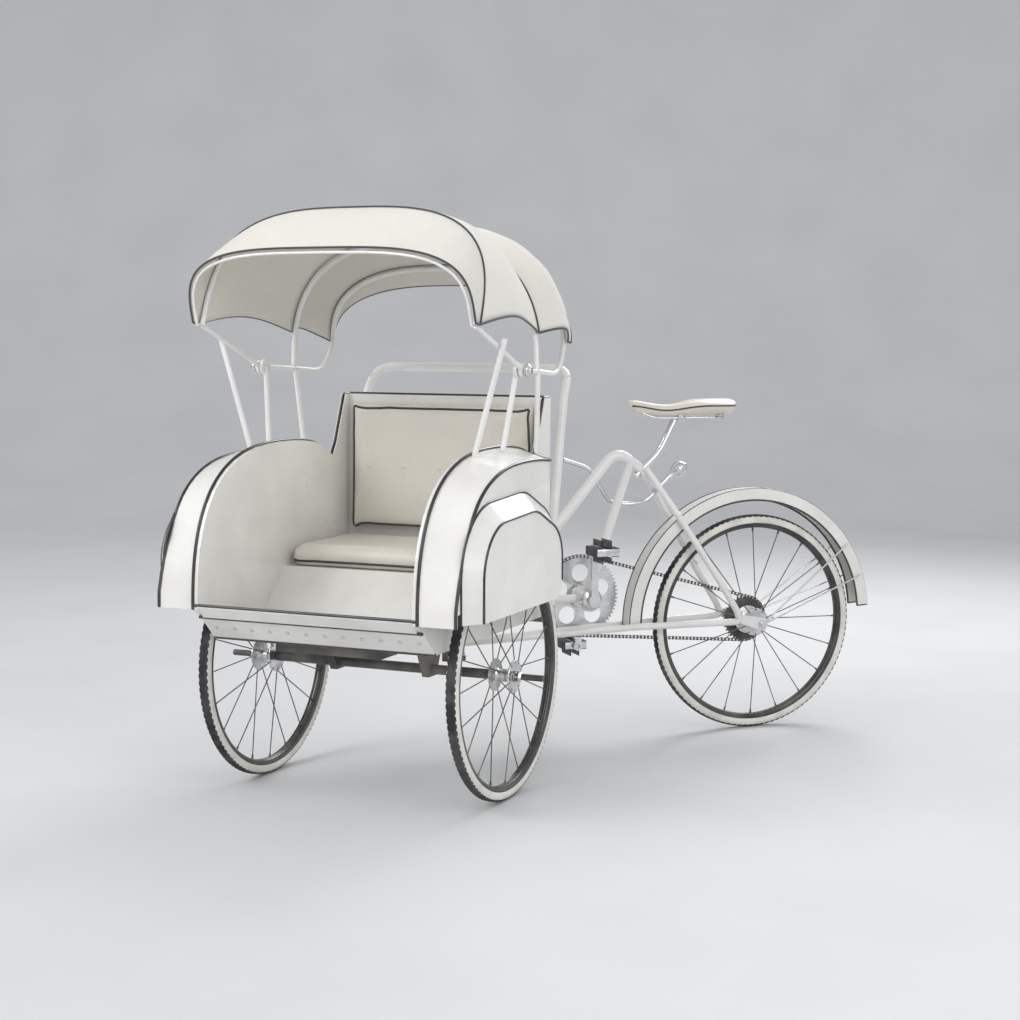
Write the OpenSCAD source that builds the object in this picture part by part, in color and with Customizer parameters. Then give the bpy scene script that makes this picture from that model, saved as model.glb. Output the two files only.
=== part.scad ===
// Three-wheeled cycle rickshaw: the passenger cabin rides in front on a fixed axle, and the
// rider's rear half carries the driven wheel and turns about an upright pin behind the cabin.
// Millimetres. Z is up, the front is -Y, and X is the vehicle's left. The origin is the
// middle of the front axle, and the ground is one wheel radius below it.

/* [Wheels] */
// Outer diameter of the three tyres
wheel_d = 710; // [620:5:860]
// Width of a tyre
tyre_w = 38; // [30:1:46]
// Distance between the two front tyres' middle planes
track = 775; // [740:5:940]
// Spokes in a wheel
spoke_count = 20; // [12:2:36]
// Radius of a hub's flanges
hub_flange_r = 46; // [36:1:56]
// Length of a hub over its flanges
hub_len = 64; // [50:1:72]
// Radius of the wheel spindles
spindle_r = 9; // [6:0.5:11]

/* [Cabin] */
// Width of the cabin over its two side panels
cabin_w = 690; // [560:5:700]
// Thickness of the side panels
side_wall = 15; // [10:1:20]
// Thickness of the floor, the seat boards and the rear panel
board = 12; // [8:1:16]
// Height of the cabin's floor pan above the axle
pan_rise = 111; // [95:1:150]
// Reach of the cabin's nose in front of the axle
nose_reach = 453; // [440:1:545]
// Reach of the rear panel's foot behind the axle
rear_reach = 405; // [360:1:412]
// Height of the arm rests above the axle
arm_rise = 637; // [520:1:700]
// Height of the backrest above the axle
back_rise = 763; // [700:1:915]
// Thickness of the wings' sheet
wing_wall = 10; // [6:1:14]
// Reach of the wings outboard of the front tyres' middle planes
wing_reach = 69.5; // [55:0.5:95]
// Depth of the wheel covers outboard of the wings
cover_bulge = 43; // [30:1:60]

/* [Seat] */
// Height of the seat board's top above the axle
seat_rise = 272; // [240:1:330]
// Thickness of the seat cushion
cushion_t = 62; // [45:1:75]
// Thickness of the backrest's pad
pad_t = 24; // [18:1:30]

/* [Push rail] */
// Radius of the push rail's tube
rail_r = 14; // [10:1:16]
// Height of the push rail's top above the axle
rail_rise = 843; // [820:1:980]

/* [Hood] */
// Height of the hood's front bow above the axle
hood_rise = 1292; // [1270:1:1400]
// Radius of the hood's bows
bow_r = 8; // [5:0.5:9]
// Radius of the hood's stays
stay_r = 8; // [5:0.5:9]
// Thickness of the hood's cloth
cloth_t = 3; // [2:0.5:4]

/* [Rear half] */
// Angle that the rear half is turned to at rest
rest_turn = -46; // [-50:1:50]
// Distance from the steering pin to the rear axle
rear_base = 1025; // [1000:5:1230]
// Radius of the frame's main tube
main_r = 17; // [13:0.5:19]
// Radius of the frame's stays
chain_stay_r = 11; // [8:0.5:12]
// Height of the crank's axle above the wheel axles
crank_rise = 105; // [95:1:125]
// Distance of the crank's axle in front of the rear axle
crank_ahead = 590; // [585:1:640]
// Length of a crank arm
crank_l = 168; // [140:1:175]
// Radius of the chainring
ring_r = 129; // [108:1:132]
// Radius of the rear sprocket
sprocket_r = 73; // [60:1:80]
// Distance of the chain from the frame's middle plane
chain_off = 55; // [54:0.5:60]
// Length of the saddle
saddle_l = 356; // [290:1:400]
// Height of the saddle's top above the axle
saddle_rise = 740; // [720:1:860]

/* [Hidden] */
$fn = 48;

fit = 0.05;        // running clearance round a shaft
over = 1;          // how far a cut runs past a face
wheel_r = wheel_d / 2;
axle_z = 0;        // height of all three wheels' axles
half_track = track / 2;

// wheels
rim_depth = 14;
rim_in_r = wheel_r - tyre_w - 7;
spoke_r = 1.6;
flange_t = 4;
barrel_r = spindle_r + 8;
nut_r = spindle_r + 5;
nut_l = 10;

// cabin, in the side view: Y along, Z up
pan_z = axle_z + pan_rise;
side_x = cabin_w / 2;
board_x = side_x - side_wall;
wing_x = half_track + wing_reach;
wing_w = wing_x - side_x;
cover_x = wing_x + cover_bulge;
sill_z = pan_z + 106;
sill_y = -nose_reach;
knee = [sill_y + 32, sill_z - 34];
toe = [sill_y + 103, pan_z];
arm_z = axle_z + arm_rise;
back_z = axle_z + back_rise;
back_lean = 14;
rear_lean = back_lean / (back_z - pan_z);
seat_z = axle_z + seat_rise;
kick_top_y = 5;
hem_z = sill_z - 12;
lobe_r = wing_w;
lobe_y = 250;
cheek_t = wing_wall;
cover_field = [900, 600];
wing_drop = 34;

// chassis
rail_x = 150;
beam = 30;
tube_y = rear_reach + 11 + rail_r;
pivot_y = tube_y + 59;
pin_r = 12;
head_r = 24;
head_lo = axle_z - 53;
head_hi = axle_z + 83;
yoke_t = 12;
plate_gap = 2;

// push rail
rail_x_out = side_x - 5;
rail_top = axle_z + rail_rise;

// hood: half width, then the foot's and the top's places of each bow
visor_r = 4;
foot_z = axle_z + 848;
boss = [413, 39, axle_z + 856];
arm_x = boss[0] + 12;
corner = [arm_x, -266, axle_z + 980];
crest_top = [-150, axle_z + hood_rise];
visor_top = [-350, crest_top[1] - 117];
mid_foot = [boss[0] - 12, 191, foot_z];
mid_top = [191, crest_top[1] - 74];
rear_foot = [boss[0] - 22, 414, foot_z + 72];
rear_top = [405, crest_top[1] - 145];
valance_top = [455, crest_top[1] - 207];
skin = bow_r + cloth_t + 1;
hood_hems = [corner[2] + 8, corner[2] + 4, foot_z + 109, foot_z + 80, foot_z + 78];

// rear half, behind the steering pin: X left, Y back
crank_y = rear_base - crank_ahead;
crank_z = axle_z + crank_rise;
guard_r = wheel_r + 79;
guard_at = [rear_base - 16, axle_z + 8];
guard_front = guard_at[0] - guard_r;
bend = [0, guard_front - 29, axle_z + wheel_r + 220];
cluster = [0, bend[1] + 84, bend[2] - 51];
low_z = axle_z + 10;
main_slope = (bend[2] - low_z - 20) / (bend[1] - 68);
drop_x = chain_off + 19;
drop_y = rear_base - 80;
drop_z = axle_z + 18;
drop_t = 6;
shell_r = 37;
shell_x = 40;
crank_axle_r = 10;
guard_w = tyre_w / 2 + 13;
guard_wall = 3;
guard_deep = 38;
guard_hi = 176;
clear_x = guard_w + chain_stay_r + 3.5;
arm_in = chain_off + 9;
arm_t = 13;
pedal_x = arm_in + arm_t + 6;
pedal_w = 104;
pedal_half = 39;
pedal_t = 28;
pedal_r = 6;
saddle_z = axle_z + saddle_rise;
post_r = 13;
lever_r = 8;

// ---------------------------------------------------------------- helpers

function bezier(a, b, c, d, t) =
    pow(1 - t, 3) * a + 3 * pow(1 - t, 2) * t * b + 3 * (1 - t) * t * t * c + pow(t, 3) * d;
function curve(a, b, c, d, n) = [for (i = [0:n]) bezier(a, b, c, d, i / n)];
function reverse(list) = [for (i = [len(list) - 1:-1:0]) list[i]];
function unit(v) = v / norm(v);
function mix(a, b, t) = a + (b - a) * t;

// the path of a tube that turns at each inner point along an arc of n steps
function rounded(points, cut, n = 4) =
    [for (i = [0:len(points) - 1]) each
        (i == 0 || i == len(points) - 1) ? [points[i]] :
        let (p = points[i], a = p + cut * unit(points[i - 1] - p),
             b = p + cut * unit(points[i + 1] - p))
        [for (k = [0:n]) let (t = k / n) mix(mix(a, p, t), mix(p, b, t), t)]];

// the side of a strip of sheet, w to the left of the way its points run
function edge_points(points, w) =
    [for (i = [0:len(points) - 1])
        let (a = points[max(i - 1, 0)], b = points[min(i + 1, len(points) - 1)], d = unit(b - a))
        points[i] + w * [-d[1], d[0]]];

module strip(points, w) {
    polygon(concat(points, reverse(edge_points(points, w))));
}

// a round bar from p to q
module rod(p, q, r) {
    d = q - p;
    translate(p) rotate([0, acos(d[2] / norm(d)), atan2(d[1], d[0])]) cylinder(r = r, h = norm(d), $fn = 24);
}

// a round tube's solid swept along points; side is a direction that the path never takes
module sweep(points, r, side, sides = 10) {
    n = len(points);
    rings = [for (i = [0:n - 1])
        let (t = unit(points[min(i + 1, n - 1)] - points[max(i - 1, 0)]),
             u = unit(cross(t, side)), v = cross(t, u))
        for (k = [0:sides - 1]) points[i] + r * (cos(360 * k / sides) * u + sin(360 * k / sides) * v)];
    ends = [[for (k = [0:sides - 1]) k], [for (k = [sides - 1:-1:0]) (n - 1) * sides + k]];
    walls = [for (i = [0:n - 2], k = [0:sides - 1])
        let (a = i * sides + k, b = i * sides + (k + 1) % sides)
        each [[a, a + sides, b + sides], [a, b + sides, b]]];
    polyhedron(rings, concat(ends, walls));
}

// an outline drawn in Y and Z, pushed along X from x0 to x1
module along_x(x0, x1) {
    translate([x0, 0, 0]) rotate([90, 0, 90]) linear_extrude(x1 - x0) children();
}

// something at the vehicle's left or its mirror image at the right
module on_side(left) {
    if (left) children();
    else mirror([1, 0, 0]) children();
}

// the rear half's place: its own Y runs back from the steering pin
module rear_place() {
    translate([0, pivot_y, 0]) rotate([0, 0, rest_turn]) children();
}

// a lying wheel turned upright, its axis along X
module upright() {
    rotate([0, 90, 0]) children();
}

// ---------------------------------------------------------------- wheels

module tyre_solid() {
    upright() rotate_extrude($fn = 96) difference() {
        translate([wheel_r - tyre_w / 2, 0]) circle(d = tyre_w, $fn = 32);
        translate([rim_in_r - over, -tyre_w]) square([rim_depth + over, 2 * tyre_w]);
    }
}

module rim_solid() {
    rim_w = tyre_w - 10;
    upright() rotate_extrude($fn = 96) difference() {
        translate([rim_in_r, -rim_w / 2]) square([rim_depth, rim_w]);
        translate([rim_in_r + 5, -rim_w / 2 + 4]) square([rim_depth, rim_w - 8]);
    }
}

module hub_solid() {
    half = hub_len / 2;
    upright() rotate_extrude($fn = 64) difference() {
        union() {
            translate([0, -half]) square([barrel_r, hub_len]);
            for (z = [-half, half - flange_t]) translate([0, z]) square([hub_flange_r, flange_t]);
        }
        translate([-over, -half - over]) square([spindle_r + fit + over, hub_len + 2 * over]);
    }
}

// spokes run straight out from the hub's two flanges in turn, and meet the rim in its middle
module spoke_set() {
    flange_x = (hub_len - flange_t) / 2;
    difference() {
        for (i = [0:spoke_count - 1])
            rotate([360 * i / spoke_count, 0, 0])
                rod([(i % 2 == 0 ? 1 : -1) * flange_x, 0, hub_flange_r - 3], [0, 0, rim_in_r + 2], spoke_r);
        hub_solid();
        rim_solid();
    }
}

module front_wheel_place(left) {
    translate([left ? half_track : -half_track, 0, axle_z]) children();
}

module rear_wheel_place() {
    rear_place() translate([0, rear_base, axle_z]) children();
}

module front_left_tyre() { color("dimgray") front_wheel_place(true) tyre_solid(); }
module front_left_rim() { color("silver") front_wheel_place(true) rim_solid(); }
module front_left_spokes() { color("gray") front_wheel_place(true) spoke_set(); }
module front_left_hub() { color("silver") front_wheel_place(true) hub_solid(); }
module front_right_tyre() { color("dimgray") front_wheel_place(false) tyre_solid(); }
module front_right_rim() { color("silver") front_wheel_place(false) rim_solid(); }
module front_right_spokes() { color("gray") front_wheel_place(false) spoke_set(); }
module front_right_hub() { color("silver") front_wheel_place(false) hub_solid(); }
module rear_tyre() { color("dimgray") rear_wheel_place() tyre_solid(); }
module rear_rim() { color("silver") rear_wheel_place() rim_solid(); }
module rear_spokes() { color("gray") rear_wheel_place() spoke_set(); }
module rear_hub() { color("silver") rear_wheel_place() hub_solid(); }

module rear_sprocket() {
    half = hub_len / 2;
    color("gray") rear_wheel_place() upright() difference() {
        union() {
            translate([0, 0, -chain_off - 1.5]) cylinder(r = sprocket_r - 4, h = 3, $fn = 72);
            translate([0, 0, -chain_off - 1.5]) cylinder(r = barrel_r + 4, h = chain_off + 1.5 - half);
        }
        translate([0, 0, -chain_off - 2 * over]) cylinder(r = spindle_r + fit, h = chain_off);
    }
}

// ---------------------------------------------------------------- front axle and chassis

module front_axle() {
    inner = half_track - hub_len / 2 - 2;
    outer = half_track + hub_len / 2 + 2;
    color("dimgray") translate([0, 0, axle_z]) upright() {
        translate([0, 0, -inner]) cylinder(r = rail_r, h = 2 * inner);
        translate([0, 0, -wing_x - cover_bulge - 5])
            cylinder(r = spindle_r, h = 2 * (wing_x + cover_bulge + 5));
        for (z = [-outer - nut_l, outer]) translate([0, 0, z]) cylinder(r = nut_r, h = nut_l);
    }
}

// a hanger plate clamps the axle under each long beam
module hanger() {
    half = beam / 2;
    difference() {
        along_x(-11, 11) polygon([
            [-70, pan_z - beam], [-24, axle_z - 20], [24, axle_z - 20], [70, pan_z - beam]]);
        translate([-half, 0, axle_z]) upright() cylinder(r = rail_r, h = beam);
    }
}

module chassis() {
    beam_z = pan_z - beam;
    front_y = sill_y + 133;
    back_y = tube_y - rail_r * 0.7;
    color("dimgray") {
        for (x = [-rail_x, rail_x]) {
            translate([x - beam / 2, front_y, beam_z]) cube([beam, back_y - front_y, beam]);
            translate([x, 0, 0]) hanger();
        }
        translate([-rail_x, front_y, beam_z]) cube([2 * rail_x, beam, beam]);
        foot_tube();
        yoke();
        translate([0, pivot_y, head_lo - yoke_t - 8])
            cylinder(r = pin_r, h = head_hi - head_lo + 2 * yoke_t + 16);
        for (z = [head_lo - plate_gap - yoke_t - 8, head_hi + plate_gap + yoke_t])
            translate([0, pivot_y, z]) cylinder(r = pin_r + 7, h = 8, $fn = 6);
    }
}

// the cross tube behind the cabin, between the push rail's feet
module foot_tube() {
    translate([-rail_x_out - rail_r, tube_y, pan_z - beam / 2]) upright()
        cylinder(r = rail_r, h = 2 * (rail_x_out + rail_r));
}

// two plates carry the steering pin, one above the head tube and one below it
module yoke() {
    web_y = tube_y + rail_r * 0.7;
    lo = head_lo - plate_gap - yoke_t;
    hi = head_hi + plate_gap;
    translate([-28, web_y, lo]) cube([56, yoke_t, hi + yoke_t - lo]);
    for (z = [lo, hi]) {
        translate([-28, web_y, z]) cube([56, pivot_y - web_y, yoke_t]);
        translate([0, pivot_y, z]) cylinder(r = 28, h = yoke_t);
    }
}

module push_rail_solid() {
    knee_z = pan_z + 154;
    half = rounded([[rail_x_out, tube_y, pan_z - beam / 2], [rail_x_out, tube_y, knee_z],
                    [rail_x_out, tube_y + 110, rail_top - 62], [rail_x_out - 12, tube_y + 174, rail_top],
                    [0, tube_y + 174, rail_top]], 55, 5);
    other = [for (p = reverse(half)) [-p[0], p[1], p[2]]];
    sweep(concat(half, [for (i = [1:len(other) - 1]) other[i]]), rail_r, unit([0, 1, -0.4]), 14);
}

module push_rail() {
    color("white") difference() {
        push_rail_solid();
        foot_tube();
    }
}

// ---------------------------------------------------------------- cabin

// the arm rest's line in the side view, from the sill's foot over the wheel to the dip
function wing_line() = concat(
    curve([sill_y - 2, hem_z], [sill_y - 2, hem_z + 200], [sill_y + 53, arm_z - 15], [-60, arm_z], 14),
    [for (i = [1:8]) bezier([-60, arm_z], [60, arm_z + 6], [200, arm_z - 2], [lobe_y, arm_z - 30], i / 8)]);

// the wings' outer line: the same arch drawn in towards the wheel by up to wing_drop
function wing_edge() =
    let (line = wing_line(), inner = edge_points(line, -1))
    [for (i = [0:len(line) - 1])
        line[i] + wing_drop * min(1, max(0, line[i][1] - hem_z - 40) / 180) * (inner[i] - line[i])];

// the sheet between the two lines
module wing_sheet() {
    a = wing_line();
    b = wing_edge();
    n = len(a);
    low_a = edge_points(a, -wing_wall);
    low_b = edge_points(b, -wing_wall);
    points = [for (i = [0:n - 1])
        each [[side_x, a[i][0], a[i][1]], [wing_x, b[i][0], b[i][1]],
              [wing_x, low_b[i][0], low_b[i][1]], [side_x, low_a[i][0], low_a[i][1]]]];
    faces = [for (i = [0:n - 2], k = [0:3])
        let (p = 4 * i + k, q = 4 * i + (k + 1) % 4)
        each [[p, p + 4, q + 4], [p, q + 4, q]]];
    polyhedron(points, concat([[0, 1, 2, 3]], faces, [[4 * n - 1, 4 * n - 2, 4 * n - 3, 4 * n - 4]]));
}

module side_outline() {
    foot_y = rear_reach + 5;
    polygon(concat([toe, knee], wing_line(), [
        [lobe_y + 50, arm_z - 60], [rear_reach - 80, arm_z - 20],
        [rear_reach - 22, back_z], [foot_y + back_lean, back_z], [foot_y, pan_z]]));
}

module side_panel(left) {
    color("ivory") on_side(left) along_x(board_x, side_x) side_outline();
}

module side_panel_left() { side_panel(true); }
module side_panel_right() { side_panel(false); }

module floor_pan() {
    color("ivory") along_x(-board_x, board_x) polygon([
        [rear_reach, pan_z], [rear_reach, pan_z + board], [toe[0] + 6, pan_z + board],
        [knee[0] + board, knee[1] + 3], [sill_y + board * 1.3, sill_z], [sill_y, sill_z], knee, toe]);
}

module nose_strip() {
    raise = 7;
    dir = unit([sill_z - knee[1], knee[0] - sill_y]);
    color("white") along_x(-board_x, board_x) polygon([
        [sill_y, sill_z], knee, knee - raise * dir, [sill_y, sill_z] - raise * dir]);
}

module rear_panel() {
    color("ivory") along_x(-board_x, board_x) polygon([
        [rear_reach - board, pan_z + board], [rear_reach, pan_z + board],
        [rear_reach + back_lean, back_z], [rear_reach + back_lean - board, back_z]]);
}

module seat_base() {
    depth = seat_z - pan_z - board;
    color("ivory") along_x(-board_x, board_x) polygon([
        [kick_top_y - depth, pan_z + board], [kick_top_y - depth + 1.4 * board, pan_z + board],
        [kick_top_y + 0.4 * board, seat_z - board], [rear_reach - board, seat_z - board],
        [rear_reach - board, seat_z], [kick_top_y, seat_z]]);
}

module seat_cushion() {
    round_r = cushion_t * 0.35;
    color("wheat") along_x(-board_x + 5, board_x - 5)
        translate([kick_top_y - 12, seat_z]) offset(r = round_r, $fn = 24) offset(delta = -round_r)
            square([rear_reach - board - pad_t - kick_top_y + 4, cushion_t]);
}

module backrest_pad() {
    low = seat_z + cushion_t + 4;
    front = rear_reach - board - 2;
    color("wheat") along_x(-board_x + 5, board_x - 5) polygon([
        [front - pad_t, low], [front, low],
        [front + rear_lean * (back_z - low - 10), back_z - 10],
        [front - pad_t + rear_lean * (back_z - low - 10) + 8, back_z - 10],
        [front - pad_t + rear_lean * (back_z - low - 10), back_z - 22]]);
}

// ---------------------------------------------------------------- wings and wheel covers

// the cover's outline where it stands furthest out, and its flange on the wing's cheek
module cover_face() {
    low = hem_z + 5;
    intersection() {
        hull() {
            translate([sill_y + 226, low + 106]) circle(r = 150, $fn = 40);
            translate([sill_y + 393, low + 125]) circle(r = 140, $fn = 40);
            translate([sill_y + 490, low + 115]) circle(r = 110, $fn = 40);
            translate([sill_y + 550, low + 50]) circle(r = 50, $fn = 24);
            translate([sill_y + 78, low]) square([100, 60]);
        }
        translate([sill_y, low]) square(cover_field);
    }
}

module cover_flange() {
    intersection() {
        offset(r = 50, $fn = 32) cover_face();
        translate([sill_y + 14, hem_z + 5]) square(cover_field);
    }
}

module wing(left) {
    color("ivory") on_side(left) {
        intersection() {
            wing_sheet();
            union() {
                translate([side_x, lobe_y - lobe_r, 0]) cylinder(r = lobe_r, h = arm_z + 50, $fn = 64);
                translate([side_x, sill_y - 50, 0]) cube([wing_w, lobe_y - lobe_r - sill_y + 50, arm_z + 50]);
            }
        }
        along_x(wing_x - cheek_t, wing_x) difference() {
            intersection() {
                polygon(concat(edge_points(wing_edge(), -1),
                               [[lobe_y, arm_z - 75], [30, hem_z + 320], [-100, hem_z + 300],
                                             [sill_y + 2, hem_z]]));
                translate([sill_y - 10, 0]) square([lobe_y - lobe_r - sill_y + 12, 2 * arm_z]);
            }
            offset(delta = -18) cover_flange();
            offset(delta = -wing_wall / 2) polygon(concat([[sill_y, hem_z - 40], [-20, hem_z - 40]],
                                                         [[-20, hem_z + 40], [sill_y, hem_z + 40]]));
        }
    }
}

module wing_left() { wing(true); }
module wing_right() { wing(false); }

module wheel_cover(left) {
    sheet = 4;
    color("ivory") on_side(left) difference() {
        hull() {
            along_x(wing_x, wing_x + 1) cover_flange();
            along_x(cover_x - 1, cover_x) cover_face();
        }
        hull() {
            along_x(wing_x - 2, wing_x + 0.5) offset(delta = -sheet) cover_flange();
            along_x(cover_x - sheet - 1, cover_x - sheet) offset(delta = -sheet) cover_face();
            along_x(wing_x - 2, cover_x - sheet)
                translate([sill_y + 90, hem_z - 40]) square([450, 80]);
        }
    }
}

module wheel_cover_left() { wheel_cover(true); }
module wheel_cover_right() { wheel_cover(false); }

// ---------------------------------------------------------------- hood

// a bow is an arch whose legs stand upright and whose top is flat:
// [half width, foot, top, squareness]
function arch_point(bow, t) =
    let (rise = pow(abs(sin(t)), 2 / bow[3]), side = pow(abs(cos(t)), 2 / bow[3]) * sign(cos(t)))
    [bow[0] * side, mix(bow[1][0], bow[2][0], rise), mix(bow[1][1], bow[2][1], rise)];

function arch(bow, n) = [for (i = [0:n]) arch_point(bow, 180 * i / n)];

// where the arch's leg reaches a height
function arch_start(bow, z) = asin(pow(max(z - bow[1][1], 0) / (bow[2][1] - bow[1][1]), bow[3] / 2));

function mix_bow(a, b, v, bulge) = [mix(a[0], b[0], v) + bulge * 0.5 * sin(180 * v),
                                    mix(a[1], b[1], v), mix(a[2], b[2], v) + [0, bulge * sin(180 * v)],
                                    mix(a[3], b[3], v)];
function shrink_bow(a, w) = [a[0] - w, a[1], a[2] - [0, w], a[3]];

// a cloth panel from bow a to bow b; its side hems lie at za and zb and rise by lift between
module cloth(a, b, za, zb, bulge, lift, trim_a = 0, trim_b = 0) {
    m = 26;
    n = 5;
    function row(w, j) =
        let (v = mix(trim_a, 1 - trim_b, j / n), s = shrink_bow(mix_bow(a, b, v, bulge), w),
             t0 = arch_start(s, mix(za, zb, v) + lift * sin(180 * v)))
        [for (i = [0:m]) arch_point(s, mix(t0, 180 - t0, i / m))];
    points = concat([for (j = [0:n]) each row(0, j)], [for (j = [0:n]) each row(cloth_t, j)]);
    w = m + 1;
    half = w * (n + 1);
    top = [for (j = [0:n - 1], i = [0:m - 1])
        let (p = j * w + i) each [[p, p + 1, p + w + 1], [p, p + w + 1, p + w]]];
    low = [for (f = top) [f[2] + half, f[1] + half, f[0] + half]];
    ends = [for (j = [0:n - 1]) let (p = j * w, q = j * w + m)
        each [[p, p + w, p + w + half], [p, p + w + half, p + half],
              [q + w, q, q + half], [q + w, q + half, q + w + half]]];
    rims = [for (i = [0:m - 1]) let (p = i, q = n * w + i)
        each [[p + 1, p, p + half], [p + 1, p + half, p + 1 + half],
              [q, q + 1, q + 1 + half], [q, q + 1 + half, q + half]]];
    polyhedron(points, concat(top, low, ends, rims));
}

visor_bow = [arm_x, [corner[1] - 24, corner[2]], visor_top, 3.6];
crest_bow = [arm_x, [corner[1], corner[2]], crest_top, 3.1];
mid_bow = [mid_foot[0], [mid_foot[1], mid_foot[2]], mid_top, 2.6];
rear_bow = [rear_foot[0], [rear_foot[1], rear_foot[2]], rear_top, 2.6];
valance_bow = [rear_foot[0], [rear_foot[1] + 24, rear_foot[2]], valance_top, 2.6];

function over_bow(bow) = shrink_bow(bow, -skin);

module hood_visor() {
    color("beige") cloth(over_bow(visor_bow), over_bow(crest_bow), hood_hems[0], hood_hems[1], 6, 0);
}
module hood_top() {
    color("beige") cloth(over_bow(crest_bow), over_bow(mid_bow), hood_hems[1], hood_hems[2], 28, 34,
                         0.004, 0.004);
}
module hood_rear_panel() {
    color("beige") cloth(over_bow(mid_bow), over_bow(rear_bow), hood_hems[2], hood_hems[3], 78, 26, 0, 0);
}
module hood_back_valance() {
    color("beige") cloth(over_bow(rear_bow), over_bow(valance_bow), hood_hems[3], hood_hems[4], 12, 0, 0.004);
}

module front_bow_solids() {
    sweep(arch(crest_bow, 24), bow_r, [0, 1, 0]);
    difference() {
        union() {
            sweep(arch(visor_bow, 24), visor_r, [0, 1, 0], 8);
            for (x = [-arm_x, arm_x])
rod([x, visor_bow[1][0] + 1, corner[2] + 3],
                        [x, crest_bow[1][0], corner[2] + 3], visor_r - 1);
        }
        sweep(arch(crest_bow, 24), bow_r, [0, 1, 0]);
    }
}

// the fixed bar on each side: a level run from the pivot boss, then a bend up to the rear bow
module side_bar_solid() {
    for (left = [true, false]) on_side(left) {
        translate([boss[0] - 8, boss[1], boss[2]]) upright() cylinder(r = 22, h = 10);
        translate([boss[0] - 8, boss[1], boss[2]]) upright() cylinder(r = 6, h = 30);
        translate([arm_x + 7, boss[1], boss[2]]) upright() cylinder(r = 12, h = 5);
        difference() {
            sweep(rounded([[boss[0] - 6, boss[1] + 12, boss[2]], [mid_foot[0], mid_foot[1], foot_z],
                           [mid_foot[0] - 4, mid_foot[1] + 170, foot_z - 14],
                           rear_foot], 60, 5),
                  bow_r, [1, 0, 0]);
            translate([boss[0] - 8, boss[1], boss[2]]) upright() cylinder(r = 22, h = 10);
        }
    }
}

module hood_rear_frame() {
    color("dimgray") {
        side_bar_solid();
        sweep(arch(mid_bow, 24), bow_r, [0, 1, 0]);
        sweep(arch(rear_bow, 24), bow_r, [0, 1, 0]);
    }
}

// the folding arms: an eye on the pivot pin and a bar up to the front corner
module hood_front_frame() {
    color("dimgray") {
        front_bow_solids();
        for (left = [true, false]) on_side(left) difference() {
            union() {
                translate([arm_x - 5, boss[1], boss[2]]) upright() cylinder(r = 20, h = 10);
                rod([arm_x, boss[1] - 10, boss[2] + 4], corner, bow_r - 1);
            }
            translate([arm_x - 20, boss[1], boss[2]]) upright() cylinder(r = 6 + fit, h = 40);
        }
    }
}

module hood_stays(left) {
    feet = [[side_x + 11, -131], [side_x + 34, 6], [side_x + 42, 222]];
    heads = [[arm_x + bow_r + stay_r + 9, -135, boss[2] + 90], [boss[0] - 7, boss[1], boss[2]],
             [mid_foot[0], mid_foot[1] + 8, foot_z]];
    color("dimgray") on_side(left) difference() {
        for (i = [0:2])
            rod([feet[i][0], feet[i][1], lookup(feet[i][1], wing_line()) - wing_wall / 2], heads[i], stay_r);
        wing(true);
        side_panel(true);
        side_bar_solid();
    }
}
module hood_stays_left() { hood_stays(true); }
module hood_stays_right() { hood_stays(false); }

// ---------------------------------------------------------------- rear half

function main_line(z) = bend[1] - (bend[2] - z) / main_slope;

module head_tube_hole() {
    translate([0, 0, head_lo - over]) cylinder(r = pin_r + fit, h = head_hi - head_lo + 2 * over);
}

// the tubes before they are bored
module frame_tubes() {
    low_b = main_line(low_z + 20);
    union() {
        translate([0, 0, head_lo]) cylinder(r = head_r, h = head_hi - head_lo);
        sweep(rounded([[0, 6, low_z - 4], [0, low_b, low_z + 20], bend + [0, -8, 6],
                       cluster + [0, 22, -37]], 58, 6),
              main_r, [1, 0, 0], 20);
        rod([0, bend[1] + 45, bend[2] - 20], [0, crank_y, crank_z], main_r - 2);
        rod([0, main_line(crank_z + 5), crank_z + 5], [0, crank_y, crank_z], main_r - 4);
        translate([-shell_x, crank_y, crank_z]) upright() cylinder(r = shell_r, h = 2 * shell_x);
    }
}

module rear_frame() {
    color("white") rear_place() difference() {
        frame_tubes();
        head_tube_hole();
        translate([-shell_x - over, crank_y, crank_z]) upright()
            cylinder(r = crank_axle_r + fit, h = 2 * shell_x + 2 * over);
        post_solid(post_r);
    }
}

// seat stays and chain stays, one loop on each side, with the wheel's dropout plates
module stay_loop_solid() {
    for (s = [1, -1]) {
        sweep(rounded([[s * 10, 10, low_z - 24], [s * (chain_off - 19), guard_front - 42, low_z - 4],
                       [s * clear_x, guard_front + 8, low_z],
                       [s * drop_x, drop_y, drop_z - 6], [s * drop_x, drop_y - 10, drop_z + 30],
                       [s * drop_x, drop_y - 88, drop_z + 153],
                       [s * clear_x, cluster[1] + 105, cluster[2] - 160],
                       [s * 18, cluster[1] + 2, cluster[2] - 6]], 16, 3),
              chain_stay_r, [1, 0, 0.1], 12);
    }
}

module stay_loop() {
    color("white") rear_place() {
        difference() {
            stay_loop_solid();
            frame_tubes();
            post_solid(post_r);
        }
        for (s = [1, -1]) difference() {
            along_x(s * drop_x - drop_t / 2, s * drop_x + drop_t / 2) hull() {
                translate([rear_base, axle_z]) circle(r = 20, $fn = 32);
                translate([drop_y + 14, drop_z]) circle(r = 15, $fn = 32);
            }
            translate([s * drop_x - 10, rear_base, axle_z]) upright() cylinder(r = spindle_r, h = 20);
            stay_loop_solid();
        }
    }
}

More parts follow.
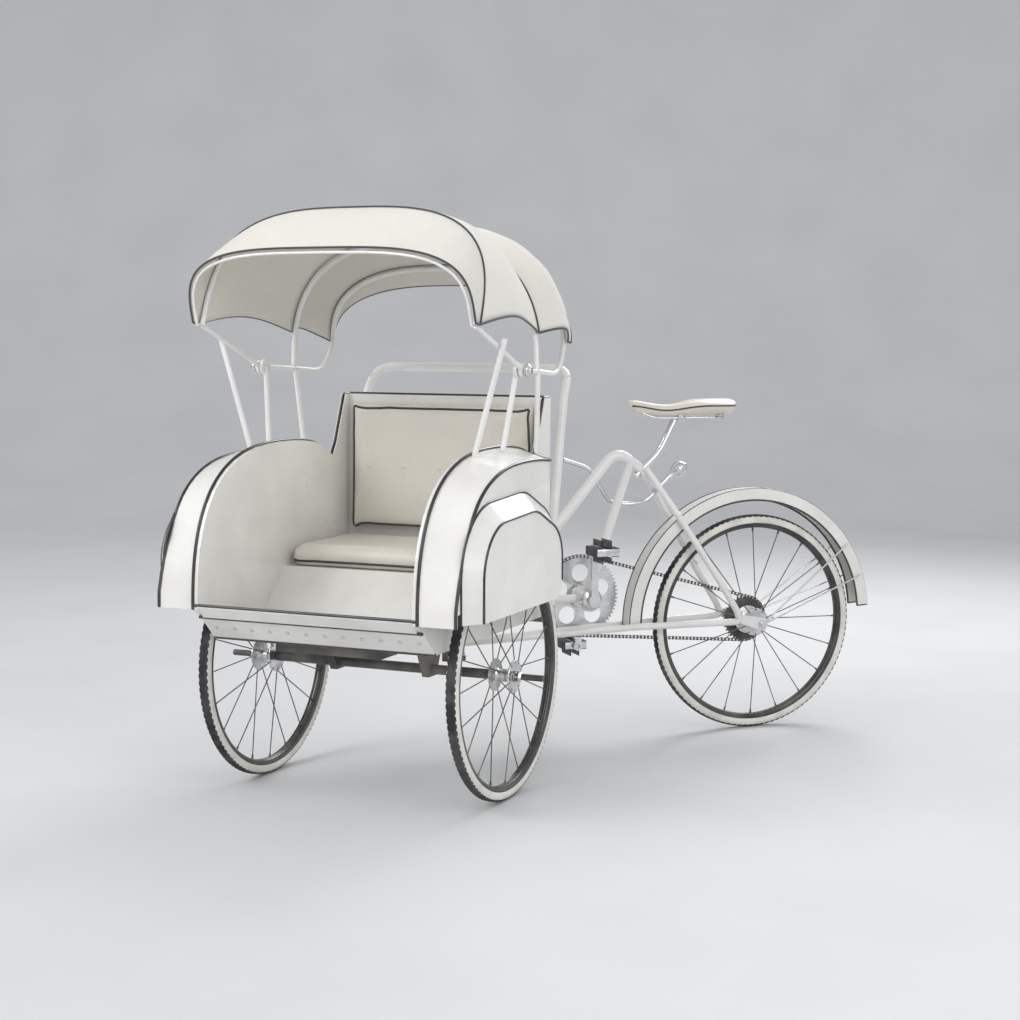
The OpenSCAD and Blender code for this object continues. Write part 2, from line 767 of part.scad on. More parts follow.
module rear_spindle() {
    end = drop_x + drop_t / 2;
    color("silver") rear_place() translate([0, rear_base, axle_z]) upright() {
        translate([0, 0, -end - nut_l - 8]) cylinder(r = spindle_r, h = 2 * (end + nut_l + 8));
        for (z = [-end - nut_l, end]) translate([0, 0, z]) cylinder(r = nut_r, h = nut_l, $fn = 6);
    }
}

module rear_mudguard() {
    color("ivory") rear_place() translate([0, guard_at[0], guard_at[1]])
        rotate([0, -90, 0]) rotate([0, 0, -90])
        rotate_extrude(angle = guard_hi, $fn = 96) difference() {
            translate([guard_r - guard_deep, -guard_w]) square([guard_deep, 2 * guard_w]);
            translate([guard_r - guard_deep - over, -guard_w + guard_wall])
                square([guard_deep + over - guard_wall, 2 * (guard_w - guard_wall)]);
        }
}

module mudguard_wires() {
    color("gray") rear_place() for (s = [1, -1], a = [146, 162])
        rod([s * (drop_x + drop_t / 2 + 3), rear_base + 22 * cos(180 - a), axle_z + 22 * sin(a)],
            [s * (guard_w + 3), guard_at[0] + (guard_r - 10) * cos(180 - a),
             guard_at[1] + (guard_r - 10) * sin(a)], 3);
}

module post_solid(r) {
    sweep(rounded([cluster - [0, 24, 30], cluster + [0, 58, 45],
                   [0, cluster[1] + 118, saddle_z - 52]], 30, 4),
          r, [1, 0, 0], 16);
}

module seat_post() {
    color("silver") rear_place() difference() {
        post_solid(post_r - 1);
        saddle_solid();
    }
}

module saddle_solid() {
    tail = cluster[1] + 299;
    nose = tail - saddle_l;
    hull() {
        translate([0, nose + 24, saddle_z - 30]) sphere(r = 18, $fn = 20);
        translate([0, nose + 130, saddle_z - 32]) sphere(r = 22, $fn = 20);
        for (x = [-72, 72]) translate([x, tail - 42, saddle_z - 30]) sphere(r = 30, $fn = 24);
        translate([0, tail - 60, saddle_z - 32]) sphere(r = 32, $fn = 24);
    }
}

module saddle() { color("dimgray") rear_place() saddle_solid(); }

module brake_lever() {
    off = -main_r - lever_r - 2;
    back = -lever_r;
    path = rounded([[off, rear_base - 660, axle_z + 548], [off, rear_base - 575, axle_z + 520],
                    [off, rear_base - 500, axle_z + 405], [off, rear_base - 435, axle_z + 399],
                    [back, rear_base - 380, axle_z + 408], [back, rear_base - 318, axle_z + 470],
                    [back, rear_base - 280, axle_z + 503]], 24, 4);
    color("silver") rear_place() {
        sweep(path, lever_r, [1, 0, 0]);
        difference() {
            translate([back, rear_base - 262, axle_z + 512]) sphere(r = 24, $fn = 24);
            sweep(path, lever_r, [1, 0, 0]);
        }
        difference() {
            rod([off, rear_base - 496, axle_z + 402], [0, rear_base - 486, axle_z + 402], lever_r - 1);
            frame_tubes();
            sweep(path, lever_r, [1, 0, 0]);
        }
    }
}

// the chain is one loop round the ring and the sprocket
module chain() {
    color("gray") rear_place() along_x(-chain_off - 5, -chain_off + 5) difference() {
        hull() {
            translate([crank_y, crank_z]) circle(r = ring_r + 5, $fn = 96);
            translate([rear_base, axle_z]) circle(r = sprocket_r + 5, $fn = 72);
        }
        hull() {
            translate([crank_y, crank_z]) circle(r = ring_r - 3, $fn = 96);
            translate([rear_base, axle_z]) circle(r = sprocket_r - 3, $fn = 72);
        }
    }
}

module crank_arm(side) {
    x = side * (arm_in + arm_t / 2) - arm_t / 2;
    end = side > 0 ? crank_l : -crank_l;
    difference() {
        union() {
            translate([x, 0, 0]) upright() cylinder(r = 20, h = arm_t);
            translate([x, -11, min(0, end)]) cube([arm_t, 22, crank_l]);
            translate([x, 0, end]) upright() cylinder(r = 14, h = arm_t);
        }
        translate([x - 5, 0, end]) upright() cylinder(r = pedal_r + fit, h = arm_t + 10);
    }
}

// crank axle, both arms and the chainring turn together
module crankset() {
    color("silver") rear_place() translate([0, crank_y, crank_z]) {
        translate([-arm_in - arm_t, 0, 0]) upright() cylinder(r = crank_axle_r, h = 2 * (arm_in + arm_t));
        for (side = [1, -1]) crank_arm(side);
        difference() {
            translate([-chain_off - 1.5, 0, 0]) upright() cylinder(r = ring_r - 4, h = 3, $fn = 96);
            for (a = [0:72:359]) rotate([a, 0, 0]) translate([-chain_off - 10, 0, ring_r * 0.58])
                upright() cylinder(r = ring_r * 0.22, h = 20, $fn = 32);
        }
        translate([-chain_off - 10, 0, 0]) upright() cylinder(r = 30, h = 12);
    }
}

module pedal(side) {
    z = crank_z + (side > 0 ? crank_l : -crank_l);
    inner = side > 0 ? pedal_x : -pedal_x - pedal_w;
    color("dimgray") rear_place() translate([0, crank_y, z]) {
        translate([inner, -pedal_half, -pedal_t / 2]) cube([pedal_w, 2 * pedal_half, pedal_t]);
        translate([side > 0 ? arm_in + 1 : -pedal_x - 1, 0, 0]) upright()
            cylinder(r = pedal_r, h = pedal_x - arm_in);
    }
}

module left_pedal() { pedal(1); }
module right_pedal() { pedal(-1); }

// ---------------------------------------------------------------- nodes

front_axle();
chassis();
floor_pan();
nose_strip();
side_panel_left();
side_panel_right();
rear_panel();
seat_base();
seat_cushion();
backrest_pad();
wing_left();
wing_right();
wheel_cover_left();
wheel_cover_right();
push_rail();
hood_stays_left();
hood_stays_right();
hood_rear_frame();
hood_front_frame();
hood_visor();
hood_top();
hood_rear_panel();
hood_back_valance();
front_left_tyre();
front_left_rim();
front_left_spokes();
front_left_hub();
front_right_tyre();
front_right_rim();
front_right_spokes();
front_right_hub();
rear_tyre();
rear_rim();
rear_spokes();
rear_hub();
rear_sprocket();
rear_frame();
stay_loop();
rear_spindle();
rear_mudguard();
mudguard_wires();
seat_post();
saddle();
brake_lever();
chain();
crankset();
left_pedal();
right_pedal();
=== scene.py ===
"""Finished model of a three-wheeled cycle rickshaw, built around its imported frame.

Metres, in the frame's own axes: Z is up, the front is -Y and X is the vehicle's left. The
origin is the middle of the front axle. Each sub-assembly is a class that holds its sizes,
makes its pieces and dresses the frame's own nodes.
"""

import logging
from dataclasses import dataclass, field
from enum import Enum
from math import acos, atan2, cos, degrees, hypot, pi, radians, sin
from typing import Callable, Iterable, Sequence

import bmesh
import bpy
import numpy as np
from mathutils import Matrix, Vector
from mathutils.bvhtree import BVHTree
from mathutils.kdtree import KDTree


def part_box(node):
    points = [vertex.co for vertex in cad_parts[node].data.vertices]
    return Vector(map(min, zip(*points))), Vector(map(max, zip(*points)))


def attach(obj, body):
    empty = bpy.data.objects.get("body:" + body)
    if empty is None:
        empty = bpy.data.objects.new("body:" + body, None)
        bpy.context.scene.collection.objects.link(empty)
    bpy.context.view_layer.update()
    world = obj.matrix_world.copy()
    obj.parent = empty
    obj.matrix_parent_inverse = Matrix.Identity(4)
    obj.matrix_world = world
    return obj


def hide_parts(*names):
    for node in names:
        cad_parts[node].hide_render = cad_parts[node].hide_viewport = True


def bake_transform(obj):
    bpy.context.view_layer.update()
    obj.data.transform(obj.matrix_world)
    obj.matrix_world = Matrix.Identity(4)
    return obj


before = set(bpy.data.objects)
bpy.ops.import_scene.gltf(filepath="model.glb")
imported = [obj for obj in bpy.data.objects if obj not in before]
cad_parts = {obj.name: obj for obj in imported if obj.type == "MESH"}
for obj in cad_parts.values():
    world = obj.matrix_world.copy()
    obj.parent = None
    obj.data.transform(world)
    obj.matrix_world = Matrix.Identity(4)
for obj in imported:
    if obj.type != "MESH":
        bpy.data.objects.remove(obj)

LOG = logging.getLogger("rickshaw")
HALF_TRACK = 0.3875
REAR_BASE = 1.025
ROUND_STEPS = 144
Point = Sequence[float]
Triple = tuple[float, float, float]
Pair = tuple[float, float]
Place = Callable[[np.ndarray], np.ndarray]
Faces = list[tuple[int, ...]]


# ------------------------------------------------------------------ names


class Body(str, Enum):
    """The frame's moving bodies."""

    CARRIAGE = "carriage"
    HOOD_FRONT = "hood_front"
    LEFT_WHEEL = "front_left_wheel"
    RIGHT_WHEEL = "front_right_wheel"
    REAR_HALF = "rear_half"
    REAR_WHEEL = "rear_wheel"
    CRANK = "crank"
    LEFT_PEDAL = "left_pedal_body"
    RIGHT_PEDAL = "right_pedal_body"


class Slot(str, Enum):
    """The record's material slots."""

    BODY = "body_enamel"
    TRIM = "trim_enamel"
    FRAME = "frame_enamel"
    DARK = "dark_steel"
    BRIGHT = "bright_steel"
    RIM = "rim_steel"
    CHAIN = "chain_steel"
    TYRE = "tyre"
    VINYL = "vinyl"
    SADDLE = "saddle_cover"
    CANVAS = "canvas"
    RUBBER = "pedal_rubber"


# ------------------------------------------------------------------ shader groups


class NodeBook:
    """A small helper that adds nodes and links to one node tree."""

    def __init__(self, tree: bpy.types.NodeTree) -> None:
        """Keeps the tree."""
        self.tree = tree

    def add(self, kind: str, inputs: dict | None = None, **props: object) -> bpy.types.Node:
        """Adds a node.

        Args:
            kind: the node's bl_idname.
            inputs: values or output sockets by input name or number.
            props: the node's own properties.

        Returns:
            The new node.
        """
        node = self.tree.nodes.new(kind)
        for key, value in props.items():
            setattr(node, key, value)
        for key, value in (inputs or {}).items():
            self.feed(node.inputs[key], value)
        return node

    def feed(self, socket: bpy.types.NodeSocket, value: object) -> None:
        """Links an output socket to socket, or sets its value."""
        if isinstance(value, bpy.types.NodeSocket):
            self.tree.links.new(value, socket)
        else:
            socket.default_value = value

    def math(self, operation: str, *values: object) -> bpy.types.NodeSocket:
        """Adds a Math node and returns its output."""
        node = self.add("ShaderNodeMath", operation=operation)
        for i, value in enumerate(values):
            self.feed(node.inputs[i], value)
        return node.outputs[0]

    def ramp(self, value: object, low: float, high: float) -> bpy.types.NodeSocket:
        """Maps value from low..high to 0..1, smoothly and clamped."""
        node = self.add("ShaderNodeMapRange", {"Value": value, "From Min": low, "From Max": high},
                        interpolation_type="SMOOTHSTEP")
        return node.outputs["Result"]

    def noise(self, coords: object, scale: object, detail: float = 3.0) -> bpy.types.NodeSocket:
        """Adds a noise texture and returns its value."""
        node = self.add("ShaderNodeTexNoise", {"Vector": coords, "Scale": scale, "Detail": detail})
        return node.outputs["Fac"]

    def mix(self, factor: object, a: object, b: object) -> bpy.types.NodeSocket:
        """Mixes two colours and returns the result."""
        node = self.add("ShaderNodeMix", data_type="RGBA")
        self.feed(node.inputs[0], factor)
        self.feed(node.inputs[6], a)
        self.feed(node.inputs[7], b)
        return node.outputs[2]


def shader_group(name: str, inputs: dict[str, float], outputs: Sequence[str],
                 fill: Callable[[NodeBook, dict], dict]) -> bpy.types.NodeTree:
    """Builds a shader node group once.

    Args:
        name: the group's name.
        inputs: each input's name and default value.
        outputs: the names of the values that it puts out.
        fill: makes the nodes from a book and the input sockets, and returns the outputs.

    Returns:
        The group's tree.
    """
    tree = bpy.data.node_groups.new(name, "ShaderNodeTree")
    for key, value in inputs.items():
        socket = tree.interface.new_socket(name=key, in_out="INPUT", socket_type="NodeSocketFloat")
        socket.default_value = value
    for key in outputs:
        tree.interface.new_socket(name=key, in_out="OUTPUT", socket_type="NodeSocketFloat")
    book = NodeBook(tree)
    made = fill(book, {s.name: s for s in book.add("NodeGroupInput").outputs})
    out = book.add("NodeGroupOutput")
    for key in outputs:
        book.feed(out.inputs[key], made[key])
    return tree


def opaque(colour: Triple) -> tuple[float, float, float, float]:
    """A colour with its alpha."""
    return (*colour, 1.0)


def object_coords(book: NodeBook) -> bpy.types.NodeSocket:
    """The piece's own coordinates, in metres."""
    return book.add("ShaderNodeTexCoord").outputs["Object"]


def fill_mottle(book: NodeBook, given: dict) -> dict:
    """Broad uneven colour and fine grain, from two noises."""
    coords = object_coords(book)
    broad = book.noise(coords, given["Broad scale"], 4.0)
    fine = book.noise(coords, given["Fine scale"], 2.0)
    mask = book.ramp(broad, 0.35, 0.72)
    return {"Mask": mask, "Fine": fine}


def fill_edge_wear(book: NodeBook, given: dict) -> dict:
    """Chips along sharp edges, broken up by noise."""
    bevel = book.add("ShaderNodeBevel", {"Radius": given["Width"]}, samples=4)
    flat = book.add("ShaderNodeNewGeometry").outputs["True Normal"]
    dot = book.add("ShaderNodeVectorMath", {0: bevel.outputs[0], 1: flat}, operation="DOT_PRODUCT")
    turned = book.ramp(book.math("SUBTRACT", 1.0, dot.outputs["Value"]), 0.03, 0.16)
    spots = book.ramp(book.noise(object_coords(book), given["Scale"], 4.0), 0.5, 0.62)
    return {"Mask": book.math("MULTIPLY", book.math("MULTIPLY", turned, spots), given["Amount"])}


def fill_road_dust(book: NodeBook, given: dict) -> dict:
    """Dust that thickens towards the ground."""
    coords = object_coords(book)
    height = book.add("ShaderNodeSeparateXYZ", {0: coords}).outputs["Z"]
    above = book.math("SUBTRACT", height, given["Height"])
    low = book.math("SUBTRACT", 1.0, book.ramp(book.math("DIVIDE", above, given["Fade"]), 0.0, 1.0))
    patch = book.ramp(book.noise(coords, 9.0, 5.0), 0.3, 0.8)
    return {"Mask": book.math("MULTIPLY", book.math("MULTIPLY", low, patch), given["Amount"])}


def fill_weave(book: NodeBook, given: dict) -> dict:
    """A plain weave on the cloth's own map, whose units are metres."""
    uv = book.add("ShaderNodeTexCoord").outputs["UV"]
    axes = book.add("ShaderNodeSeparateXYZ", {0: uv})
    turns = book.math("DIVIDE", 2 * pi, given["Pitch"])
    along = book.math("SINE", book.math("MULTIPLY", axes.outputs["X"], turns))
    across = book.math("SINE", book.math("MULTIPLY", axes.outputs["Y"], turns))
    over = book.math("MULTIPLY", along, across)
    slub = book.noise(uv, 60.0, 3.0)
    height = book.math("ADD", over, book.math("MULTIPLY", slub, given["Slub"]))
    return {"Height": height, "Mask": book.ramp(over, -0.6, 0.9), "Slub mask": book.ramp(slub, 0.4, 0.7)}


def fill_hide(book: NodeBook, given: dict) -> dict:
    """A pebbled skin: small cells with creases between them."""
    coords = object_coords(book)
    warped = book.add("ShaderNodeVectorMath", {0: coords}, operation="ADD")
    wobble = book.add("ShaderNodeTexNoise", {"Vector": coords, "Scale": 90.0, "Detail": 2.0})
    shift = book.add("ShaderNodeVectorMath", {0: wobble.outputs["Color"], "Scale": 0.004}, operation="SCALE")
    book.feed(warped.inputs[1], shift.outputs[0])
    cells = book.add("ShaderNodeTexVoronoi", {"Vector": warped.outputs[0], "Scale": given["Scale"]},
                     feature="SMOOTH_F1")
    rise = book.math("SUBTRACT", 1.0, cells.outputs["Distance"])
    return {"Height": rise, "Mask": book.ramp(cells.outputs["Distance"], 0.25, 0.75)}


def fill_brushed(book: NodeBook, given: dict) -> dict:
    """Fine drawn lines and smears on bare metal."""
    coords = object_coords(book)
    place = book.add("ShaderNodeMapping", {"Vector": coords, "Scale": (1.0, 1.0, 14.0)})
    lines = book.noise(place.outputs[0], given["Scale"], 5.0)
    return {"Lines": lines, "Mask": book.ramp(book.noise(coords, 22.0, 4.0), 0.42, 0.75)}


@dataclass
class SharedEffects:
    """The shader groups that the finishes share."""

    mottle: bpy.types.NodeTree = field(default_factory=lambda: shader_group(
        "mottle", {"Broad scale": 6.0, "Fine scale": 400.0}, ("Mask", "Fine"), fill_mottle))
    wear: bpy.types.NodeTree = field(default_factory=lambda: shader_group(
        "edge_wear", {"Width": 0.002, "Scale": 60.0, "Amount": 0.6}, ("Mask",), fill_edge_wear))
    dust: bpy.types.NodeTree = field(default_factory=lambda: shader_group(
        "road_dust", {"Height": -0.35, "Fade": 0.9, "Amount": 0.5}, ("Mask",), fill_road_dust))
    weave: bpy.types.NodeTree = field(default_factory=lambda: shader_group(
        "plain_weave", {"Pitch": 0.003, "Slub": 0.8}, ("Height", "Mask", "Slub mask"), fill_weave))
    hide: bpy.types.NodeTree = field(default_factory=lambda: shader_group(
        "hide_grain", {"Scale": 420.0}, ("Height", "Mask"), fill_hide))
    brushed: bpy.types.NodeTree = field(default_factory=lambda: shader_group(
        "brushed_lines", {"Scale": 90.0}, ("Lines", "Mask"), fill_brushed))


# ------------------------------------------------------------------ finishes


@dataclass(frozen=True)
class Finish:
    """What every finish shares: a name, a colour and its roughness."""

    name: str
    colour: Triple
    roughness: float = 0.4

    def shader(self) -> tuple[bpy.types.Material, NodeBook, bpy.types.Node]:
        """Makes a material with an empty Principled shader."""
        material = bpy.data.materials.new(self.name)
        material.use_nodes = True
        material.diffuse_color = opaque(self.colour)
        book = NodeBook(material.node_tree)
        surface = material.node_tree.nodes["Principled BSDF"]
        surface.inputs["Roughness"].default_value = self.roughness
        surface.inputs["Base Color"].default_value = opaque(self.colour)
        return material, book, surface

    def group(self, book: NodeBook, tree: bpy.types.NodeTree, **values: float) -> bpy.types.Node:
        """Places a shared group with its own values; underscores stand for spaces."""
        node = book.add("ShaderNodeGroup", node_tree=tree)
        for key, value in values.items():
            node.inputs[key.replace("_", " ").capitalize()].default_value = value
        return node

    def bump(self, book: NodeBook, surface: bpy.types.Node, height: object, depth: float,
             strength: float = 1.0) -> None:
        """Feeds a height to the surface's normal."""
        node = book.add("ShaderNodeBump", {"Height": height, "Distance": depth, "Strength": strength})
        book.feed(surface.inputs["Normal"], node.outputs[0])


@dataclass(frozen=True)
class Enamel(Finish):
    """Stoved paint on sheet steel: gloss coat, slight orange peel, chips and road dust."""

    chip: Triple = (0.16, 0.12, 0.10)
    dust: float = 0.35
    coat: float = 0.5

    def make(self, shared: SharedEffects) -> bpy.types.Material:
        """Builds the material."""
        material, book, surface = self.shader()
        mottle = self.group(book, shared.mottle, broad_scale=5.0, fine_scale=260.0)
        wear = self.group(book, shared.wear, width=0.0022, scale=70.0, amount=0.75)
        dust = self.group(book, shared.dust, height=-0.34, fade=1.15, amount=self.dust)
        shade = tuple(c * 0.90 for c in self.colour)
        base = book.mix(mottle.outputs["Mask"], opaque(self.colour), opaque(shade))
        dusty = book.mix(dust.outputs["Mask"], base, (0.50, 0.45, 0.37, 1.0))
        worn = book.mix(wear.outputs["Mask"], dusty, opaque(self.chip))
        book.feed(surface.inputs["Base Color"], worn)
        rough = book.math("MULTIPLY_ADD", dust.outputs["Mask"], 0.5, self.roughness)
        rough = book.math("MULTIPLY_ADD", mottle.outputs["Mask"], 0.08, rough)
        book.feed(surface.inputs["Roughness"], rough)
        coat = book.math("MULTIPLY", book.math("SUBTRACT", 1.0, dust.outputs["Mask"]), self.coat)
        book.feed(surface.inputs["Coat Weight"], coat)
        surface.inputs["Coat Roughness"].default_value = 0.12
        height = book.math("SUBTRACT", mottle.outputs["Fine"], wear.outputs["Mask"])
        self.bump(book, surface, height, 0.0004, 0.35)
        return material


@dataclass(frozen=True)
class Steel(Finish):
    """Bare or plated steel with fine drawn lines, smears and a little rust in the corners."""

    tarnish: Triple = (0.30, 0.22, 0.16)
    spots: float = 0.25

    def make(self, shared: SharedEffects) -> bpy.types.Material:
        """Builds the material."""
        material, book, surface = self.shader()
        lines = self.group(book, shared.brushed, scale=120.0)
        mottle = self.group(book, shared.mottle, broad_scale=38.0, fine_scale=600.0)
        spots = book.math("MULTIPLY", mottle.outputs["Mask"], self.spots)
        base = book.mix(spots, opaque(self.colour), opaque(self.tarnish))
        book.feed(surface.inputs["Base Color"], base)
        book.feed(surface.inputs["Metallic"], book.math("SUBTRACT", 1.0, book.math("MULTIPLY", spots, 0.8)))
        rough = book.math("MULTIPLY_ADD", lines.outputs["Mask"], 0.18, self.roughness)
        rough = book.math("ADD", rough, book.math("MULTIPLY", spots, 0.5))
        book.feed(surface.inputs["Roughness"], rough)
        self.bump(book, surface, lines.outputs["Lines"], 0.0003, 0.3)
        return material


@dataclass(frozen=True)
class Rubber(Finish):
    """Rubber with a dry bloom; a pale band may run round it between two radii."""

    band: Triple | None = None

    def make(self, shared: SharedEffects) -> bpy.types.Material:
        """Builds the material; the band follows the piece's own wall attribute."""
        material, book, surface = self.shader()
        mottle = self.group(book, shared.mottle, broad_scale=16.0, fine_scale=700.0)
        bloom = tuple(min(1.0, c + 0.07) for c in self.colour)
        base = book.mix(mottle.outputs["Mask"], opaque(self.colour), opaque(bloom))
        if self.band:
            wall = book.add("ShaderNodeAttribute", attribute_name="wall").outputs["Fac"]
            grime = tuple(c * 0.80 for c in self.band)
            band = book.mix(mottle.outputs["Mask"], opaque(self.band), opaque(grime))
            base = book.mix(book.ramp(wall, 0.42, 0.58), base, band)
        book.feed(surface.inputs["Base Color"], base)
        rough = book.math("MULTIPLY_ADD", mottle.outputs["Mask"], 0.14, self.roughness)
        book.feed(surface.inputs["Roughness"], rough)
        self.bump(book, surface, mottle.outputs["Fine"], 0.0006, 0.4)
        return material


@dataclass(frozen=True)
class Canvas(Finish):
    """Plain-woven cotton duck with slubs and a weathered cast."""

    shade: Triple = (0.70, 0.66, 0.57)
    pitch: float = 0.0032

    def make(self, shared: SharedEffects) -> bpy.types.Material:
        """Builds the material."""
        material, book, surface = self.shader()
        weave = self.group(book, shared.weave, pitch=self.pitch, slub=0.8)
        mottle = self.group(book, shared.mottle, broad_scale=3.5, fine_scale=300.0)
        thread = book.math("MULTIPLY_ADD", weave.outputs["Mask"], -0.35, 0.42)
        thread = book.math("MULTIPLY_ADD", weave.outputs["Slub mask"], 0.12, thread)
        base = book.mix(thread, opaque(self.colour), opaque(self.shade))
        stained = book.mix(book.math("MULTIPLY", mottle.outputs["Mask"], 0.22), base, opaque(self.shade))
        book.feed(surface.inputs["Base Color"], stained)
        rough = book.math("MULTIPLY_ADD", mottle.outputs["Mask"], 0.08, self.roughness)
        book.feed(surface.inputs["Roughness"], rough)
        surface.inputs["Sheen Weight"].default_value = 0.25
        surface.inputs["Sheen Roughness"].default_value = 0.5
        self.bump(book, surface, weave.outputs["Height"], 0.0008, 0.5)
        return material


@dataclass(frozen=True)
class Hide(Finish):
    """Coated cloth or leather with a pebbled grain, and a polish where it is sat on."""

    crease: Triple = (0.55, 0.49, 0.40)
    grain: float = 420.0

    def make(self, shared: SharedEffects) -> bpy.types.Material:
        """Builds the material."""
        material, book, surface = self.shader()
        hide = self.group(book, shared.hide, scale=self.grain)
        mottle = self.group(book, shared.mottle, broad_scale=7.0, fine_scale=500.0)
        tone = book.math("MULTIPLY_ADD", mottle.outputs["Mask"], 0.22,
                         book.math("MULTIPLY", hide.outputs["Mask"], 0.25))
        book.feed(surface.inputs["Base Color"], book.mix(tone, opaque(self.colour), opaque(self.crease)))
        rough = book.math("MULTIPLY_ADD", mottle.outputs["Mask"], -0.14, self.roughness)
        book.feed(surface.inputs["Roughness"], book.math("MULTIPLY_ADD", hide.outputs["Mask"], 0.1, rough))
        self.bump(book, surface, hide.outputs["Height"], 0.0007, 0.5)
        return material


class Finishes:
    """All the materials, by slot."""

    def __init__(self) -> None:
        """Makes each finish once."""
        shared = SharedEffects()
        ivory, black = (0.86, 0.85, 0.81), (0.012, 0.012, 0.014)
        makers = {Slot.BODY: Enamel("body_enamel_gloss", ivory, 0.26),
                  Slot.TRIM: Enamel("trim_enamel_gloss", black, 0.24, chip=(0.25, 0.24, 0.22),
                                    dust=0.2), Slot.FRAME: Enamel("frame_enamel_gloss",
                                                                  (0.84, 0.84, 0.82), 0.28, dust=0.25),
                  Slot.DARK: Enamel("dark_steel_paint", (0.035, 0.036, 0.04), 0.42,
                                    chip=(0.3, 0.22, 0.16), dust=0.45, coat=0.15),
                  Slot.BRIGHT: Steel("bright_plated_steel", (0.72, 0.73, 0.74), 0.14, spots=0.16),
                  Slot.RIM: Steel("rim_plated_steel", (0.70, 0.71, 0.72), 0.2, spots=0.22),
                  Slot.CHAIN: Steel("oiled_chain_steel", (0.24, 0.24, 0.25), 0.34,
                                    tarnish=(0.10, 0.06, 0.04), spots=0.5),
                  Slot.TYRE: Rubber("tyre_rubber", (0.022, 0.022, 0.024), 0.66,
                                    band=(0.80, 0.78, 0.72)), Slot.VINYL: Hide("seat_vinyl",
                                                                               (0.80, 0.77, 0.70),
                                                                               0.42),
                  Slot.SADDLE: Hide("saddle_leather", (0.74, 0.70, 0.62), 0.38, grain=520.0),
                  Slot.CANVAS: Canvas("hood_canvas", (0.88, 0.86, 0.80), 0.82),
                  Slot.RUBBER: Rubber("pedal_rubber_black", (0.03, 0.03, 0.032), 0.6),}
        self.by_slot = {slot: maker.make(shared) for slot, maker in makers.items()}
        self.binding = Canvas("binding_tape", (0.03, 0.03, 0.035), 0.7, shade=(0.10, 0.10, 0.11),
                              pitch=0.0016).make(shared)
        self.piping = Hide("seat_piping", (0.03, 0.03, 0.032), 0.4, crease=(0.10, 0.10, 0.10),
                           grain=700.0).make(shared)

    def __getitem__(self, slot: Slot) -> bpy.types.Material:
        """The material of a slot."""
        return self.by_slot[slot]


# ------------------------------------------------------------------ curves and paths


def bezier_run(a: Point, b: Point, c: Point, d: Point, n: int) -> list[np.ndarray]:
    """n + 1 points along a cubic curve."""
    a, b, c, d = (np.asarray(p, float) for p in (a, b, c, d))
    return [(1 - t) ** 3 * a + 3 * (1 - t) ** 2 * t * b + 3 * (1 - t) * t * t * c + t ** 3 * d
            for t in (i / n for i in range(n + 1))]


def rounded(points: Sequence[Point], cut: float, n: int = 8) -> list[np.ndarray]:
    """A path that turns at each inner point along an arc of n steps that starts cut before it."""
    pts = [np.asarray(p, float) for p in points]
    path = [pts[0]]
    for before, p, after in zip(pts, pts[1:], pts[2:]):
        a = p + cut * (before - p) / np.linalg.norm(before - p)
        b = p + cut * (after - p) / np.linalg.norm(after - p)
        path += [(1 - t) ** 2 * a + 2 * t * (1 - t) * p + t * t * b for t in np.linspace(0, 1, n + 1)]
    return path + [pts[-1]]


def resampled(points: Sequence[Point], spacing: float) -> np.ndarray:
    """The same path with evenly spaced points."""
    pts = np.array([np.asarray(p, float) for p in points])
    reach = run_length(pts)
    count = max(2, int(round(reach[-1] / spacing)))
    at = np.linspace(0, reach[-1], count + 1)
    return np.stack([np.interp(at, reach, pts[:, k]) for k in range(3)], axis=1)


def run_length(points: np.ndarray) -> np.ndarray:
    """How far along a line each of its points lies."""
    return np.concatenate([[0], np.cumsum(np.linalg.norm(np.diff(points, axis=0), axis=1))])


def superarch(half: float, foot: Point, top: Point, start: float = 0.0, n: int = 64,
              power: float = 2.6) -> list[np.ndarray]:
    """A bow: an arch whose legs stand upright and whose top is flat.

    Args:
        half: half the bow's width.
        foot: the feet's (y, z).
        top: the top's (y, z).
        start: the angle, in radians, where the left leg starts.
        n: the number of steps.
        power: how square the arch is.

    Returns:
        The points from the left foot over to the right one.
    """
    points = []
    for t in np.linspace(start, pi - start, n + 1):
        rise, side = abs(sin(t)) ** (2 / power), abs(cos(t)) ** (2 / power) * np.sign(cos(t))
        points.append(np.array([half * side, foot[0] + (top[0] - foot[0]) * rise,
                                foot[1] + (top[1] - foot[1]) * rise]))
    return points


# ------------------------------------------------------------------ mesh code


